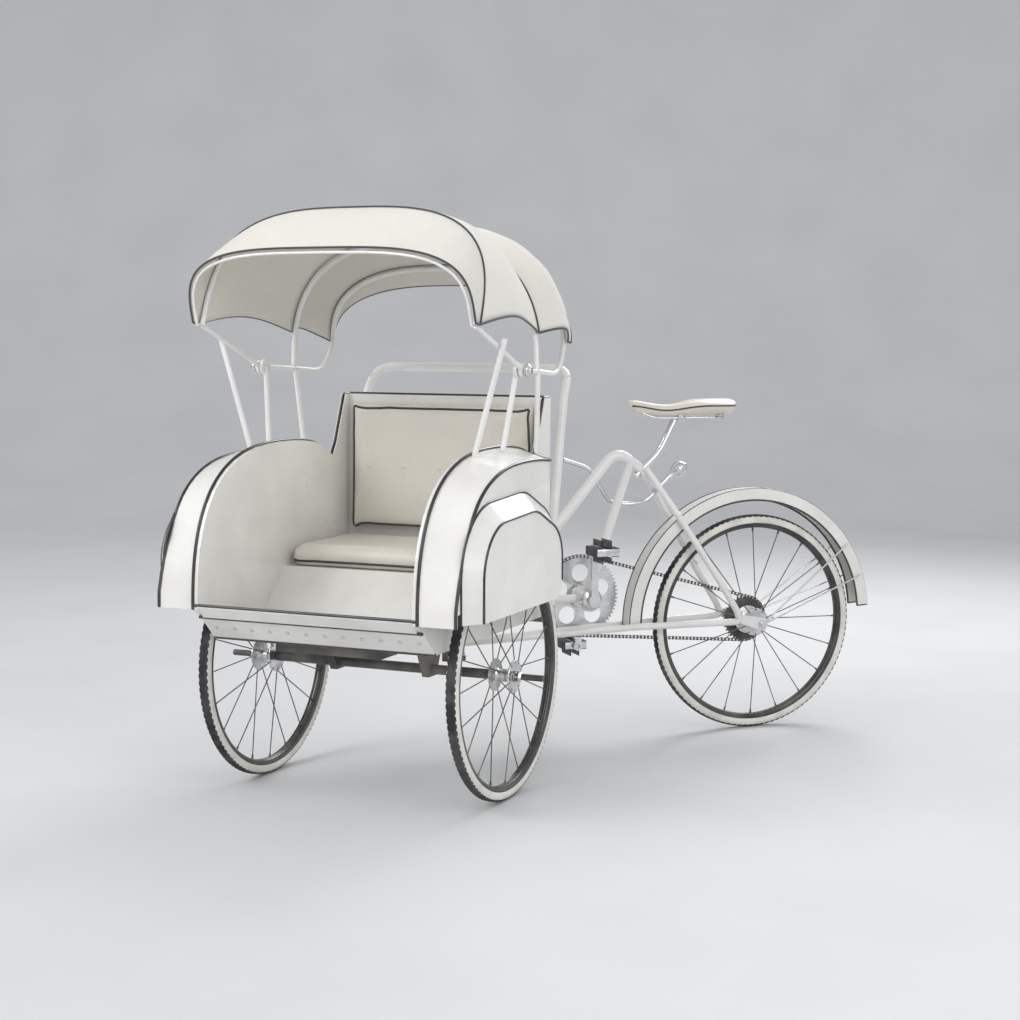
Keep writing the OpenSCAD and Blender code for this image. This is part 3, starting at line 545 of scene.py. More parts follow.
class Shell:
    """Vertices and faces that are gathered into one mesh."""

    cap_in = 0.7
    cap_out = 0.25

    def __init__(self) -> None:
        """Starts empty."""
        self.points: list[np.ndarray] = []
        self.faces: Faces = []

    def add(self, points: Iterable[Point], faces: Iterable[Sequence[int]]) -> "Shell":
        """Adds points, and faces that count from the first of them."""
        base = len(self.points)
        self.points += [np.asarray(p, float) for p in points]
        self.faces += [tuple(base + i for i in f) for f in faces]
        return self

    def merge(self, other: "Shell", move: Place | None = None) -> "Shell":
        """Adds another shell, moved point by point."""
        return self.add([move(p) if move else p for p in other.points], other.faces)

    def grid(self, rows: Sequence[Sequence[Point]], ring: bool = False, loop: bool = False) -> "Shell":
        """Adds a sheet of quads.

        Args:
            rows: rows of points, all of one length.
            ring: whether each row closes on itself.
            loop: whether the last row joins the first.
        """
        m, n = len(rows), len(rows[0])
        faces = []
        for j in range(m if loop else m - 1):
            for i in range(n if ring else n - 1):
                a, b = j * n + i, j * n + (i + 1) % n
                c, d = ((j + 1) % m) * n + (i + 1) % n, ((j + 1) % m) * n + i
                faces.append((a, b, c, d))
        return self.add([p for row in rows for p in row], faces)

    def tube(self, path: Sequence[Point], radius: float | Sequence[float], sides: int = 16,
             closed: bool = False) -> "Shell":
        """Adds a round tube along a path, with rounded-off caps.

        Args:
            path: the middle line's points.
            radius: one radius, or one at each point.
            sides: the number of sides.
            closed: whether the path closes on itself.
        """
        pts = np.array([np.asarray(p, float) for p in path])
        count = len(pts)
        radii = np.full(count, radius, float) if np.isscalar(radius) else np.asarray(radius, float)
        ahead, behind = np.roll(pts, -1, axis=0), np.roll(pts, 1, axis=0)
        if not closed:
            ahead[-1], behind[0] = pts[-1], pts[0]
        tangent = ahead - behind
        tangent /= np.linalg.norm(tangent, axis=1)[:, None]
        side = np.cross(tangent[0], [0.0, 0.0, 1.0])
        if np.linalg.norm(side) < 0.2:
            side = np.cross(tangent[0], [1.0, 0.0, 0.0])
        rows = []
        angles = np.linspace(0, 2 * pi, sides, endpoint=False)
        for p, t, r in zip(pts, tangent, radii):
            side = side - t * np.dot(side, t)
            side /= np.linalg.norm(side)
            up = np.cross(t, side)
            rows.append([p + r * (cos(a) * side + sin(a) * up) for a in angles])
        if not closed:
            first, last = tangent[0] * radii[0] * self.cap_out, tangent[-1] * radii[-1] * self.cap_out
            rows = [[pts[0] + (q - pts[0]) * self.cap_in - first for q in rows[0]], *rows,
                    [pts[-1] + (q - pts[-1]) * self.cap_in + last for q in rows[-1]]]
        base = len(self.points)
        self.grid(rows, ring=True, loop=closed)
        if not closed:
            end = base + (len(rows) - 1) * sides
            self.faces.append(tuple(base + i for i in reversed(range(sides))))
            self.faces.append(tuple(end + i for i in range(sides)))
        return self

    def lathe(self, profile: Sequence[Pair], steps: int = 64, closed: bool = False) -> "Shell":
        """Adds a turned shape about the X axis.

        Args:
            profile: (x, radius) points; a radius of 0 closes a pole.
            steps: the number of steps round.
            closed: whether the profile is a loop.
        """
        angles = np.linspace(0, 2 * pi, steps, endpoint=False)
        rows = [[(x, r * cos(a), r * sin(a)) for a in angles] for x, r in profile]
        return self.grid(rows, ring=True, loop=closed)

    def box(self, low: Point, high: Point, bevel: float = 0.0) -> "Shell":
        """Adds a box whose edges are cut back by bevel."""
        work = bmesh.new()
        bmesh.ops.create_cube(work, size=1.0)
        for v in work.verts:
            v.co = Vector([(l + h) / 2 + c * (h - l) for l, h, c in zip(low, high, v.co)])
        if bevel:
            bmesh.ops.bevel(work, geom=work.edges[:], offset=bevel, segments=2, profile=0.6, affect="EDGES")
        work.verts.index_update()
        self.add([tuple(v.co) for v in work.verts], [[v.index for v in f.verts] for f in work.faces])
        work.free()
        return self

    def moved(self, move: Place) -> "Shell":
        """A copy with every point moved."""
        return Shell().merge(self, move)

    def mesh(self, name: str, material: bpy.types.Material, sharp: float = 40.0) -> bpy.types.Mesh:
        """Makes the mesh, with its doubles merged and its normals outwards."""
        mesh = bpy.data.meshes.new(name)
        work = bmesh.new()
        verts = [work.verts.new(p) for p in self.points]
        for face in self.faces:
            if len(set(face)) > 2:
                try:
                    work.faces.new([verts[i] for i in face])
                except ValueError:
                    continue
        bmesh.ops.remove_doubles(work, verts=work.verts, dist=1e-6)
        bmesh.ops.recalc_face_normals(work, faces=work.faces)
        work.to_mesh(mesh)
        work.free()
        mesh.materials.append(material)
        mesh.shade_smooth()
        mesh.set_sharp_from_angle(angle=radians(sharp))
        return mesh


def lying(points: Sequence[Sequence[float]], x: float) -> list[Triple]:
    """Side-view (y, z) points, placed at x."""
    return [(x, y, z) for y, z in points]


def upper_hull(points: list[Point]) -> list[Point]:
    """The upper side of a cloud's convex outline, from its least to its greatest first number."""
    found: list[Point] = []
    for p in sorted(points):
        while len(found) > 1 and ((found[-1][0] - found[-2][0]) * (p[1] - found[-2][1])
                                  >= (found[-1][1] - found[-2][1]) * (p[0] - found[-2][0])):
            found.pop()
        found.append(p)
    return found


def nearest_index(points: Sequence[Point], mesh: bpy.types.Mesh) -> list[int]:
    """For each vertex of a mesh, the number of the point that it was made from."""
    tree = KDTree(len(points))
    for i, p in enumerate(points):
        tree.insert(Vector(p), i)
    tree.balance()
    return [tree.find(v.co)[1] for v in mesh.vertices]


# ------------------------------------------------------------------ pieces


class Workshop:
    """Makes the Blender objects, rides them on their bodies and gives them their slots' finishes."""

    def __init__(self, finishes: Finishes) -> None:
        """Keeps the finishes and builds the repeating trees."""
        self.finishes = finishes
        self.round_tree = RoundTree().build()
        self.path_tree = PathTree().build()
        self.made = 0

    def link(self, mesh: bpy.types.Mesh) -> bpy.types.Object:
        """Puts a mesh in the scene."""
        item = bpy.data.objects.new(mesh.name, mesh)
        bpy.context.scene.collection.objects.link(item)
        return item

    def settle(self, item: bpy.types.Object, body: Body | None, slot: Slot,
               replaces: Sequence[str] = ()) -> bpy.types.Object:
        """Rides a piece on its body and hides the frame nodes that it replaces."""
        if body is not None:
            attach(item, body.value)
        if replaces:
            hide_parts(*replaces)
        self.made += 1
        LOG.info("%s on %s, %d faces", item.name, body.value if body else "two bodies",
                 len(item.data.polygons))
        return item

    def piece(self, name: str, shell: Shell, body: Body, slot: Slot, replaces: Sequence[str] = (),
              material: bpy.types.Material | None = None, sharp: float = 40.0) -> bpy.types.Object:
        """Makes a piece of a shell.

        Args:
            name: the piece's name.
            shell: its points and faces.
            body: the body that it rides on.
            slot: its material slot.
            replaces: the frame's nodes that it stands for.
            material: a finish other than the slot's own.
            sharp: the angle past which an edge stays sharp.

        Returns:
            The piece.
        """
        mesh = shell.mesh(name, material or self.finishes[slot], sharp)
        return self.settle(self.link(mesh), body, slot, replaces)

    def baked(self, name: str, item: bpy.types.Object,
              helpers: Sequence[bpy.types.Object] = ()) -> bpy.types.Object:
        """Turns an object with modifiers into a plain one, and removes what it was made from."""
        bpy.context.view_layer.update()
        graph = bpy.context.evaluated_depsgraph_get()
        mesh = bpy.data.meshes.new_from_object(item.evaluated_get(graph), depsgraph=graph)
        for old in (item, *helpers):
            shape = old.data
            bpy.data.objects.remove(old, do_unlink=True)
            bpy.data.meshes.remove(shape)
        mesh.name = name
        return self.link(mesh)

    def repeated(self, name: str, part: Shell, tree: bpy.types.NodeTree, host: Shell,
                 values: dict[str, object], place: Place | None, body: Body, slot: Slot,
                 replaces: Sequence[str] = (), sharp: float = 40.0) -> bpy.types.Object:
        """Makes a piece of many copies of one part.

        Args:
            name: the piece's name.
            part: the shape that repeats, at the origin.
            tree: the geometry tree that places the copies.
            host: the mesh that carries the modifier, such as a path.
            values: the tree's inputs by name.
            place: where the finished copies are moved to.
            body: the body that the piece rides on.
            slot: its material slot.
            replaces: the frame's nodes that it stands for.
            sharp: the angle past which an edge stays sharp.

        Returns:
            The piece.
        """
        finish = self.finishes[slot]
        source = self.link(part.mesh(f"{name}_part", finish, sharp))
        carrier = self.link(self.path_mesh(f"{name}_host", host))
        modifier = carrier.modifiers.new("repeat", "NODES")
        modifier.node_group = tree
        ids = {s.name: s.identifier for s in tree.interface.items_tree if s.in_out == "INPUT"}
        for key, value in {**values, "Part": source, "Finish": finish}.items():
            modifier[ids[key]] = value
        item = self.baked(name, carrier, [source])
        if place:
            coords = np.empty(len(item.data.vertices) * 3)
            item.data.vertices.foreach_get("co", coords)
            moved = np.array([place(p) for p in coords.reshape(-1, 3)])
            item.data.vertices.foreach_set("co", moved.ravel())
            item.data.update()
        return self.settle(item, body, slot, replaces)

    @staticmethod
    def path_mesh(name: str, host: Shell) -> bpy.types.Mesh:
        """A mesh of the host's points, with its two-point faces as edges."""
        mesh = bpy.data.meshes.new(name)
        edges = [f for f in host.faces if len(f) == 2]
        mesh.from_pydata([tuple(p) for p in host.points] or [(0.0, 0.0, 0.0)], edges, [])
        return mesh

    def smooth_copy(self, name: str, node: str, body: Body, slot: Slot) -> bpy.types.Object:
        """A merged and smoothly shaded copy of a frame node, which replaces it."""
        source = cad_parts[node].data
        shell = Shell().add([tuple(v.co) for v in source.vertices],
                            [tuple(p.vertices) for p in source.polygons])
        return self.piece(name, shell, body, slot, [node], sharp=38.0)


class GeometryTree:
    """A geometry tree with named inputs, written once and used by many pieces."""

    name = "tree"
    inputs: tuple[tuple[str, str, object], ...] = ()

    def build(self) -> bpy.types.NodeTree:
        """Makes the tree, which ends in Realize Instances and Set Material."""
        tree = bpy.data.node_groups.new(self.name, "GeometryNodeTree")
        tree.interface.new_socket(name="Geometry", in_out="OUTPUT", socket_type="NodeSocketGeometry")
        tree.interface.new_socket(name="Geometry", in_out="INPUT", socket_type="NodeSocketGeometry")
        common = (("Part", "NodeSocketObject", None), ("Finish", "NodeSocketMaterial", None))
        for key, kind, default in (*self.inputs, *common):
            socket = tree.interface.new_socket(name=key, in_out="INPUT", socket_type=kind)
            if default is not None:
                socket.default_value = default
        book = NodeBook(tree)
        given = {s.name: s for s in book.add("NodeGroupInput").outputs}
        part = book.add("GeometryNodeObjectInfo", {"Object": given["Part"]}).outputs["Geometry"]
        copies = self.copies(book, given, part)
        real = book.add("GeometryNodeRealizeInstances", {0: copies}).outputs[0]
        done = book.add("GeometryNodeSetMaterial", {"Geometry": real, "Material": given["Finish"]})
        out = book.add("NodeGroupOutput")
        book.feed(out.inputs[0], done.outputs[0])
        return tree

    def copies(self, book: NodeBook, given: dict, part: bpy.types.NodeSocket) -> bpy.types.NodeSocket:
        """Places the copies of the part."""
        raise NotImplementedError


class RoundTree(GeometryTree):
    """Copies of a part turned about the X axis, such as spokes, teeth and tread blocks."""

    name = "repeat_round_axle"
    inputs = (("Count", "NodeSocketInt", 12),)

    def copies(self, book: NodeBook, given: dict, part: bpy.types.NodeSocket) -> bpy.types.NodeSocket:
        """One point at the middle for each copy, turned by its number."""
        points = book.add("GeometryNodePoints", {"Count": given["Count"]}).outputs[0]
        number = book.add("GeometryNodeInputIndex").outputs[0]
        turn = book.math("MULTIPLY", book.math("DIVIDE", number, given["Count"]), 2 * pi)
        spin = book.add("ShaderNodeCombineXYZ", {"X": turn}).outputs[0]
        return book.add("GeometryNodeInstanceOnPoints",
                        {"Points": points, "Instance": part, "Rotation": spin}).outputs[0]


class PathTree(GeometryTree):
    """Copies of a part spaced along a path and turned with it, such as links, rivets and stitches."""

    name = "repeat_along_path"
    inputs = (("Spacing", "NodeSocketFloat", 0.05),)

    def copies(self, book: NodeBook, given: dict, part: bpy.types.NodeSocket) -> bpy.types.NodeSocket:
        """One copy at each even step of the path, its Z along it and its X across."""
        curve = book.add("GeometryNodeMeshToCurve", {"Mesh": given["Geometry"]}).outputs[0]
        even = book.add("GeometryNodeCurveToPoints", {"Curve": curve, "Length": given["Spacing"]},
                        mode="LENGTH")
        return book.add("GeometryNodeInstanceOnPoints",
                        {"Points": even.outputs["Points"], "Instance": part,
                         "Rotation": even.outputs["Rotation"]}).outputs[0]


def path_host(points: Sequence[Point], closed: bool = False) -> Shell:
    """A path as a host for the tree that repeats along it."""
    count = len(points)
    edges = [(i, i + 1) for i in range(count - 1)] + ([(count - 1, 0)] if closed else [])
    return Shell().add(points, edges)


# ------------------------------------------------------------------ places


@dataclass(frozen=True)
class RearPlace:
    """Takes a place in the straight rear half (X left, Y back from the pin) to its turned rest."""

    pin_y: float = 0.489
    turn: float = radians(-46)

    def __call__(self, p: Point) -> np.ndarray:
        """The place in the frame's axes."""
        c, s = cos(self.turn), sin(self.turn)
        return np.array([p[0] * c - p[1] * s, self.pin_y + p[0] * s + p[1] * c, p[2]])


REAR = RearPlace()


# ------------------------------------------------------------------ wheels


@dataclass
class Wheel:
    """One spoked wheel: tyre, rim, spokes, hub and valve, with its axle along X."""

    prefix: str
    body: Body
    place: Place
    radius: float = 0.355
    section: float = 0.038
    rim_in: float = 0.310
    rim_depth: float = 0.014
    rim_half: float = 0.014
    hub_half: float = 0.032
    flange_r: float = 0.046
    barrel_r: float = 0.017
    spindle_r: float = 0.009
    spokes: int = 20
    spoke_r: float = 0.0017
    tread_blocks: int = 108

    def build(self, shop: Workshop) -> None:
        """Makes the wheel's pieces."""
        self.tyre(shop)
        self.tread(shop)
        self.rim(shop)
        self.spoke_set(shop)
        self.hub(shop)
        self.valve(shop)

    def add(self, shop: Workshop, name: str, shell: Shell, slot: Slot, nodes: Sequence[str] = (),
            sharp: float = 40.0) -> bpy.types.Object:
        """Makes one piece of this wheel, moved to its place."""
        return shop.piece(f"{self.prefix}_{name}", shell.moved(self.place), self.body, slot,
                          [f"{self.prefix}_{node}" for node in nodes], sharp=sharp)

    def tyre(self, shop: Workshop) -> None:
        """The casing, with a pale wall band and ribs round the crown."""
        r, middle = self.section / 2, self.radius - self.section / 2
        profile, walls = [], []
        groove = 0.0012
        for a in np.linspace(radians(-140), radians(140), 41):
            swell = r - groove
            crown = abs(a) < radians(34)
            if crown and int(degrees(a) + 360) % 14 < 5:
                swell -= groove
            profile.append((swell * sin(a), middle + swell * cos(a)))
            walls.append(1.0 if radians(48) < abs(a) < radians(122) else 0.0)
        shell = Shell().lathe(profile, ROUND_STEPS, closed=True)
        item = self.add(shop, "tyre_casing", shell, Slot.TYRE, ["tyre"], sharp=50)
        near = nearest_index([self.place(p) for p in shell.points], item.data)
        wall = item.data.attributes.new("wall", "FLOAT", "POINT")
        wall.data.foreach_set("value", [walls[k // ROUND_STEPS] for k in near])

    def tread(self, shop: Workshop) -> None:
        """Low blocks along both shoulders."""
        part = Shell()
        for side in (-1, 1):
            at = radians(40) * side
            r = self.section / 2 - 0.0022
            middle = np.array([r * sin(at), 0.0, self.radius - self.section / 2 + r * cos(at)])
            axis = np.array([sin(at), 0.0, cos(at)])
            across = np.array([cos(at), 0.0, -sin(at)])
            block = Shell().box((-0.0040, -0.0062, -0.001), (0.0040, 0.0062, 0.0021), 0.0006)
            shift = 0.004 * side
            part.merge(block, lambda p, m=middle, u=across, w=axis, s=shift:
                       m + u * p[0] + w * p[2] + np.array([0.0, p[1] + s, 0.0]))
        shop.repeated(f"{self.prefix}_tread", part, shop.round_tree, Shell(),
                      {"Count": self.tread_blocks}, self.place, self.body, Slot.TYRE)

    def rim(self, shop: Workshop) -> None:
        """A rolled steel rim with beaded edges and a sunk well."""
        w, a, b = self.rim_half, self.rim_in, self.rim_in + self.rim_depth
        profile = [(-w, b), (-w - 0.0006, b - 0.003), (-w, a + 0.006), (-w + 0.003, a + 0.002),
                   (-w + 0.006, a + 0.0005), (-0.004, a + 0.002), (-0.002, a + 0.0002),
                   (0.002, a + 0.0002), (0.004, a + 0.002), (w - 0.006, a + 0.0005),
                   (w - 0.003, a + 0.002), (w, a + 0.006), (w + 0.0006, b - 0.003), (w, b),
                   (w - 0.0035, b), (w - 0.0035, a + 0.007), (-w + 0.0035, a + 0.007), (-w + 0.0035, b)]
        self.add(shop, "rim_hoop", Shell().lathe(profile, ROUND_STEPS, closed=True), Slot.TRIM,
                 ["rim"], sharp=35)

    def spoke_set(self, shop: Workshop) -> None:
        """Straight-pull spokes from the two flanges in turn, each with its nipple."""
        part = Shell()
        step = 2 * pi / self.spokes
        for k, side in enumerate((1, -1)):
            angle = k * step
            turn = Matrix.Rotation(angle, 3, "X")
            hub = np.array([side * (self.hub_half - 0.002), 0.0, self.flange_r - 0.004])
            rim = np.array([0.0, 0.0, self.rim_in + 0.002])
            nut = hub + (rim - hub) * 0.945
            spoke = Shell().tube([hub, rim], self.spoke_r, 8)
            spoke.tube([nut, nut + (rim - hub) * 0.012, rim], [0.0022, 0.0031, 0.0036], 8)
            spoke.tube([hub - (rim - hub) * 0.012, hub + (rim - hub) * 0.006], 0.0032, 8)
            part.merge(spoke, lambda p, m=turn: np.array(m @ Vector(p)))
        shop.repeated(f"{self.prefix}_spoke_set", part, shop.round_tree, Shell(),
                      {"Count": self.spokes // 2}, self.place, self.body, Slot.DARK,
                      [f"{self.prefix}_spokes"])

    def hub(self, shop: Workshop) -> None:
        """A turned hub with dished flanges, an oil clip and a bore for the spindle."""
        h, f, b, s = self.hub_half, self.flange_r, self.barrel_r, self.spindle_r + 0.0001
        half = [(h, s), (h, b - 0.003), (h - 0.001, b + 0.001), (h - 0.0005, f - 0.012),
                (h, f - 0.010), (h, f - 0.0015), (h - 0.0015, f), (h - 0.004, f),
                (h - 0.005, f - 0.002), (h - 0.005, f - 0.014), (h - 0.010, b + 0.004), (h - 0.015, b),
                (0.008, b - 0.002), (0.0065, b - 0.0005), (0.0055, b + 0.0012)]
        profile = half + [(-x, r) for x, r in reversed(half)]
        self.add(shop, "hub_shell", Shell().lathe(profile, ROUND_STEPS // 2, closed=True), Slot.RIM,
                 ["hub"], sharp=32)

    def valve(self, shop: Workshop) -> None:
        """The valve's stem and cap, on the inner side of the rim."""
        a = self.rim_in
        angle = 2 * pi / self.spokes * 2.5
        shell = Shell().tube([(0, 0, a + 0.002), (0, 0, a - 0.004), (0, 0, a - 0.0045), (0, 0, a - 0.019),
                              (0, 0, a - 0.0195), (0, 0, a - 0.030)],
                             [0.0055, 0.0055, 0.0030, 0.0030, 0.0040, 0.0034], 12)
        turn = Matrix.Rotation(angle, 3, "X")
        self.add(shop, "valve", shell.moved(lambda p: np.array(turn @ Vector(p))), Slot.BRIGHT)


# ------------------------------------------------------------------ cabin


@dataclass
class Cabin:
    """The passenger's tub: panels, wings, wheel covers, their rolled edges and their rivets."""

    sill: Pair = (-0.453, 0.217)
    knee: Pair = (-0.421, 0.183)
    toe: Pair = (-0.350, 0.111)
    hem: float = 0.205
    arm: float = 0.637
    back: float = 0.763
    reach: float = 0.405
    lean: float = 0.014
    side: float = 0.345
    board: float = 0.330
    wing: float = 0.457
    cover: float = 0.500
    bead: float = 0.0048
    lobe: float = 0.138
    drop: float = 0.034
    flange: float = 0.050
    mat_z: float = 0.1235
    mat_thick: float = 0.004
    mat_half: float = 0.31
    discs: tuple[Triple, ...] = ((0.226, 0.106, 0.150), (0.393, 0.125, 0.140), (0.490, 0.115, 0.110),
                                 (0.550, 0.050, 0.050))

    def wing_line(self) -> list[np.ndarray]:
        """The arm rest's (y, z) line from the sill's foot over the wheel to its dip."""
        y = self.sill[0]
        front = bezier_run((y - 0.002, self.hem), (y - 0.002, self.hem + 0.2), (y + 0.053, self.arm - 0.015),
                           (-0.06, self.arm), 40)
        back = bezier_run((-0.06, self.arm), (0.06, self.arm + 0.006), (0.2, self.arm - 0.002),
                          (0.25, self.arm - 0.03), 24)
        return front + back[1:]

    def build(self, shop: Workshop) -> None:
        """Dresses the panels and makes their trim."""
        for node in ("floor_pan", "side_panel_left", "side_panel_right", "rear_panel", "seat_base",
                     "nose_strip"):
            dress(node, shop.finishes[Slot.BODY])
        for side in ("left", "right"):
            self.arm_rest(shop, side)
            shop.smooth_copy(f"cover_shell_{side}", f"wheel_cover_{side}", Body.CARRIAGE, Slot.BODY)
        self.beads(shop)
        self.rivets(shop)
        self.mat(shop)

    def arm_rest(self, shop: Workshop, side: str) -> None:
        """The wing's smooth copy, its curved sheet shaded by its own slope."""
        item = shop.smooth_copy(f"arm_rest_{side}", f"wing_{side}", Body.CARRIAGE, Slot.BODY)
        weighted = item.modifiers.new("weighted", "WEIGHTED_NORMAL")
        weighted.keep_sharp = True
        weighted.weight = 90

    def beads(self, shop: Workshop) -> None:
        """Black rolled edges along every panel's free edge."""
        shell = Shell()
        line = self.wing_line()
        b = self.bead
        for side in (1, -1):
            shell.tube([(side * self.side, y, z + 0.001) for y, z in line], b, 12)
            outer = [(side * (self.wing - 0.001), y, z + 0.001) for y, z in self.wing_edge() if y < self.lobe]
            reach = self.wing - self.side
            for a in np.linspace(0, pi / 2, 18)[1:]:
                y, across = self.lobe + reach * sin(a), cos(a)
                inner, edge = (self.height(run, y) for run in (line, self.wing_edge()))
                outer.append((side * (self.side + reach * across), y,
                              inner + (edge - inner) * across + 0.001))
            shell.tube(outer, b, 12)
            shell.tube(self.outline(side, self.wing + 0.0006, self.flange), b * 0.8, 10)
            shell.tube(self.outline(side, self.cover - 0.0006, -0.0012), b * 0.8, 10)
            rim = [(0.25, self.arm - 0.03), (0.30, self.arm - 0.06), (self.reach - 0.08, self.arm - 0.02),
                   (self.reach - 0.022, self.back), (self.reach + 0.005 + self.lean, self.back)]
            x = side * (self.side - 0.0075)
            shell.tube(rounded(lying(rim, x), 0.012, 5), b, 12)
        crossing = (
            (self.board, self.reach + self.lean - 0.006, self.back, 1.25),
            (self.side, self.sill[0], self.sill[1], 1.0),
            (self.side, self.knee[0] - 0.003, self.knee[1] - 0.003, 0.9),
            (self.side, self.toe[0], self.toe[1] + 0.002, 1.0),
        )
        for half, y, z, share in crossing:
            shell.tube([(-half, y, z), (half, y, z)], b * share, 12)
        shop.piece("cabin_beads", shell, Body.CARRIAGE, Slot.TRIM)

    def wing_edge(self) -> list[np.ndarray]:
        """The arm rest's outer line, drawn in towards the wheel from its inner line."""
        line = np.array(self.wing_line())
        along = np.gradient(line, axis=0)
        inward = np.stack([along[:, 1], -along[:, 0]], axis=1) / np.linalg.norm(along, axis=1)[:, None]
        amount = np.clip((line[:, 1] - self.hem - 0.040) / 0.180, 0.0, 1.0)[:, None]
        return list(line + self.drop * amount * inward)

    def outline(self, side: int, x: float, grow: float) -> list[Point]:
        """The wheel cover's free edge: round discs' common outline, from one foot over to the other."""
        sill, low = self.sill[0], self.hem + 0.005
        cloud = []
        for y, z, r in self.discs:
            centre = (sill + y, low + z)
            wide = r + grow
            cloud += [(centre[0] + wide * cos(a), centre[1] + wide * sin(a)) for a in np.linspace(0, pi, 60)]
        cloud += [(cloud[0][0], low), (sill + 0.078 - grow, low)]
        cloud.append((max(q[0] for q in cloud), low))
        hull = [q for q in upper_hull(cloud) if q[0] > sill + 0.014]
        return resampled(lying([(hull[0][0], low + 0.001), *hull], side * x), 0.008)

    @staticmethod
    def height(line: list[np.ndarray], y: float) -> float:
        """A (y, z) line's height at a place."""
        return float(np.interp(y, [p[0] for p in line], [p[1] for p in line]))

    def rivets(self, shop: Workshop) -> None:
        """Round heads along the sloping nose and the rear panel."""
        head = Shell().lathe([(0.0, 0.0048), (0.0012, 0.0046), (0.0026, 0.0030), (0.0031, 0.0012),
                              (0.0032, 0.0)], 12)
        up = head.moved(lambda p: np.array([p[1], p[2], p[0]]))
        mid_y, mid_z = (self.knee[0] + self.toe[0]) / 2, (self.knee[1] + self.toe[1]) / 2
        slope = Vector((0, -1, -1)).normalized()
        edge = 0.03
        nose = np.linspace(-self.side + edge, self.side - edge, 12)
        back = np.linspace(-self.board + edge, self.board - edge, 10)
        rows = (
            ([(x, mid_y + slope.y * 0.001, mid_z + slope.z * 0.001) for x in nose], slope),
            ([(x, self.reach + 0.0005, 0.150) for x in back], Vector((0, 1, 0))),
            ([(x, self.reach + self.lean - 0.0008, self.back - edge) for x in back], Vector((0, 1, 0))),
        )
        shell = Shell()
        for points, facing in rows:
            turn = Vector((0, 0, 1)).rotation_difference(facing).to_matrix()
            for p in points:
                shell.merge(up, lambda q, m=turn, o=np.array(p): o + np.array(m @ Vector(q)))
        shop.piece("cabin_rivets", shell, Body.CARRIAGE, Slot.BRIGHT)

    def mat(self, shop: Workshop) -> None:
        """A ribbed rubber mat on the floor."""
        base, thick = self.mat_z, self.mat_thick
        half, front, rear = self.mat_half, -0.33, -0.155
        part = Shell().box((-half + 0.015, -0.0035, 0.0), (half - 0.015, 0.0035, 0.0022), 0.0008)
        sheet = Shell().box((-half, front, base), (half, rear, base + thick), 0.0015)
        shop.piece("floor_mat", sheet, Body.CARRIAGE, Slot.RUBBER)
        path = path_host([(0, front + 0.008, base + thick - 0.0005),
                          (0, rear - 0.008, base + thick - 0.0005)])
        turned = part.moved(lambda p: np.array([p[0], -p[2], p[1]]))
        shop.repeated("floor_mat_ribs", turned, shop.path_tree, path, {"Spacing": 0.0145}, None,
                      Body.CARRIAGE, Slot.RUBBER)


def skin_of(item: bpy.types.Object) -> BVHTree:
    """A piece's surface, for finding places on it."""
    return BVHTree.FromPolygons([v.co for v in item.data.vertices], [p.vertices for p in item.data.polygons])


def dress(node: str, material: bpy.types.Material) -> None:
    """Gives a frame node its finish."""
    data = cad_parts[node].data
    data.materials.clear()
    data.materials.append(material)


# ------------------------------------------------------------------ seat


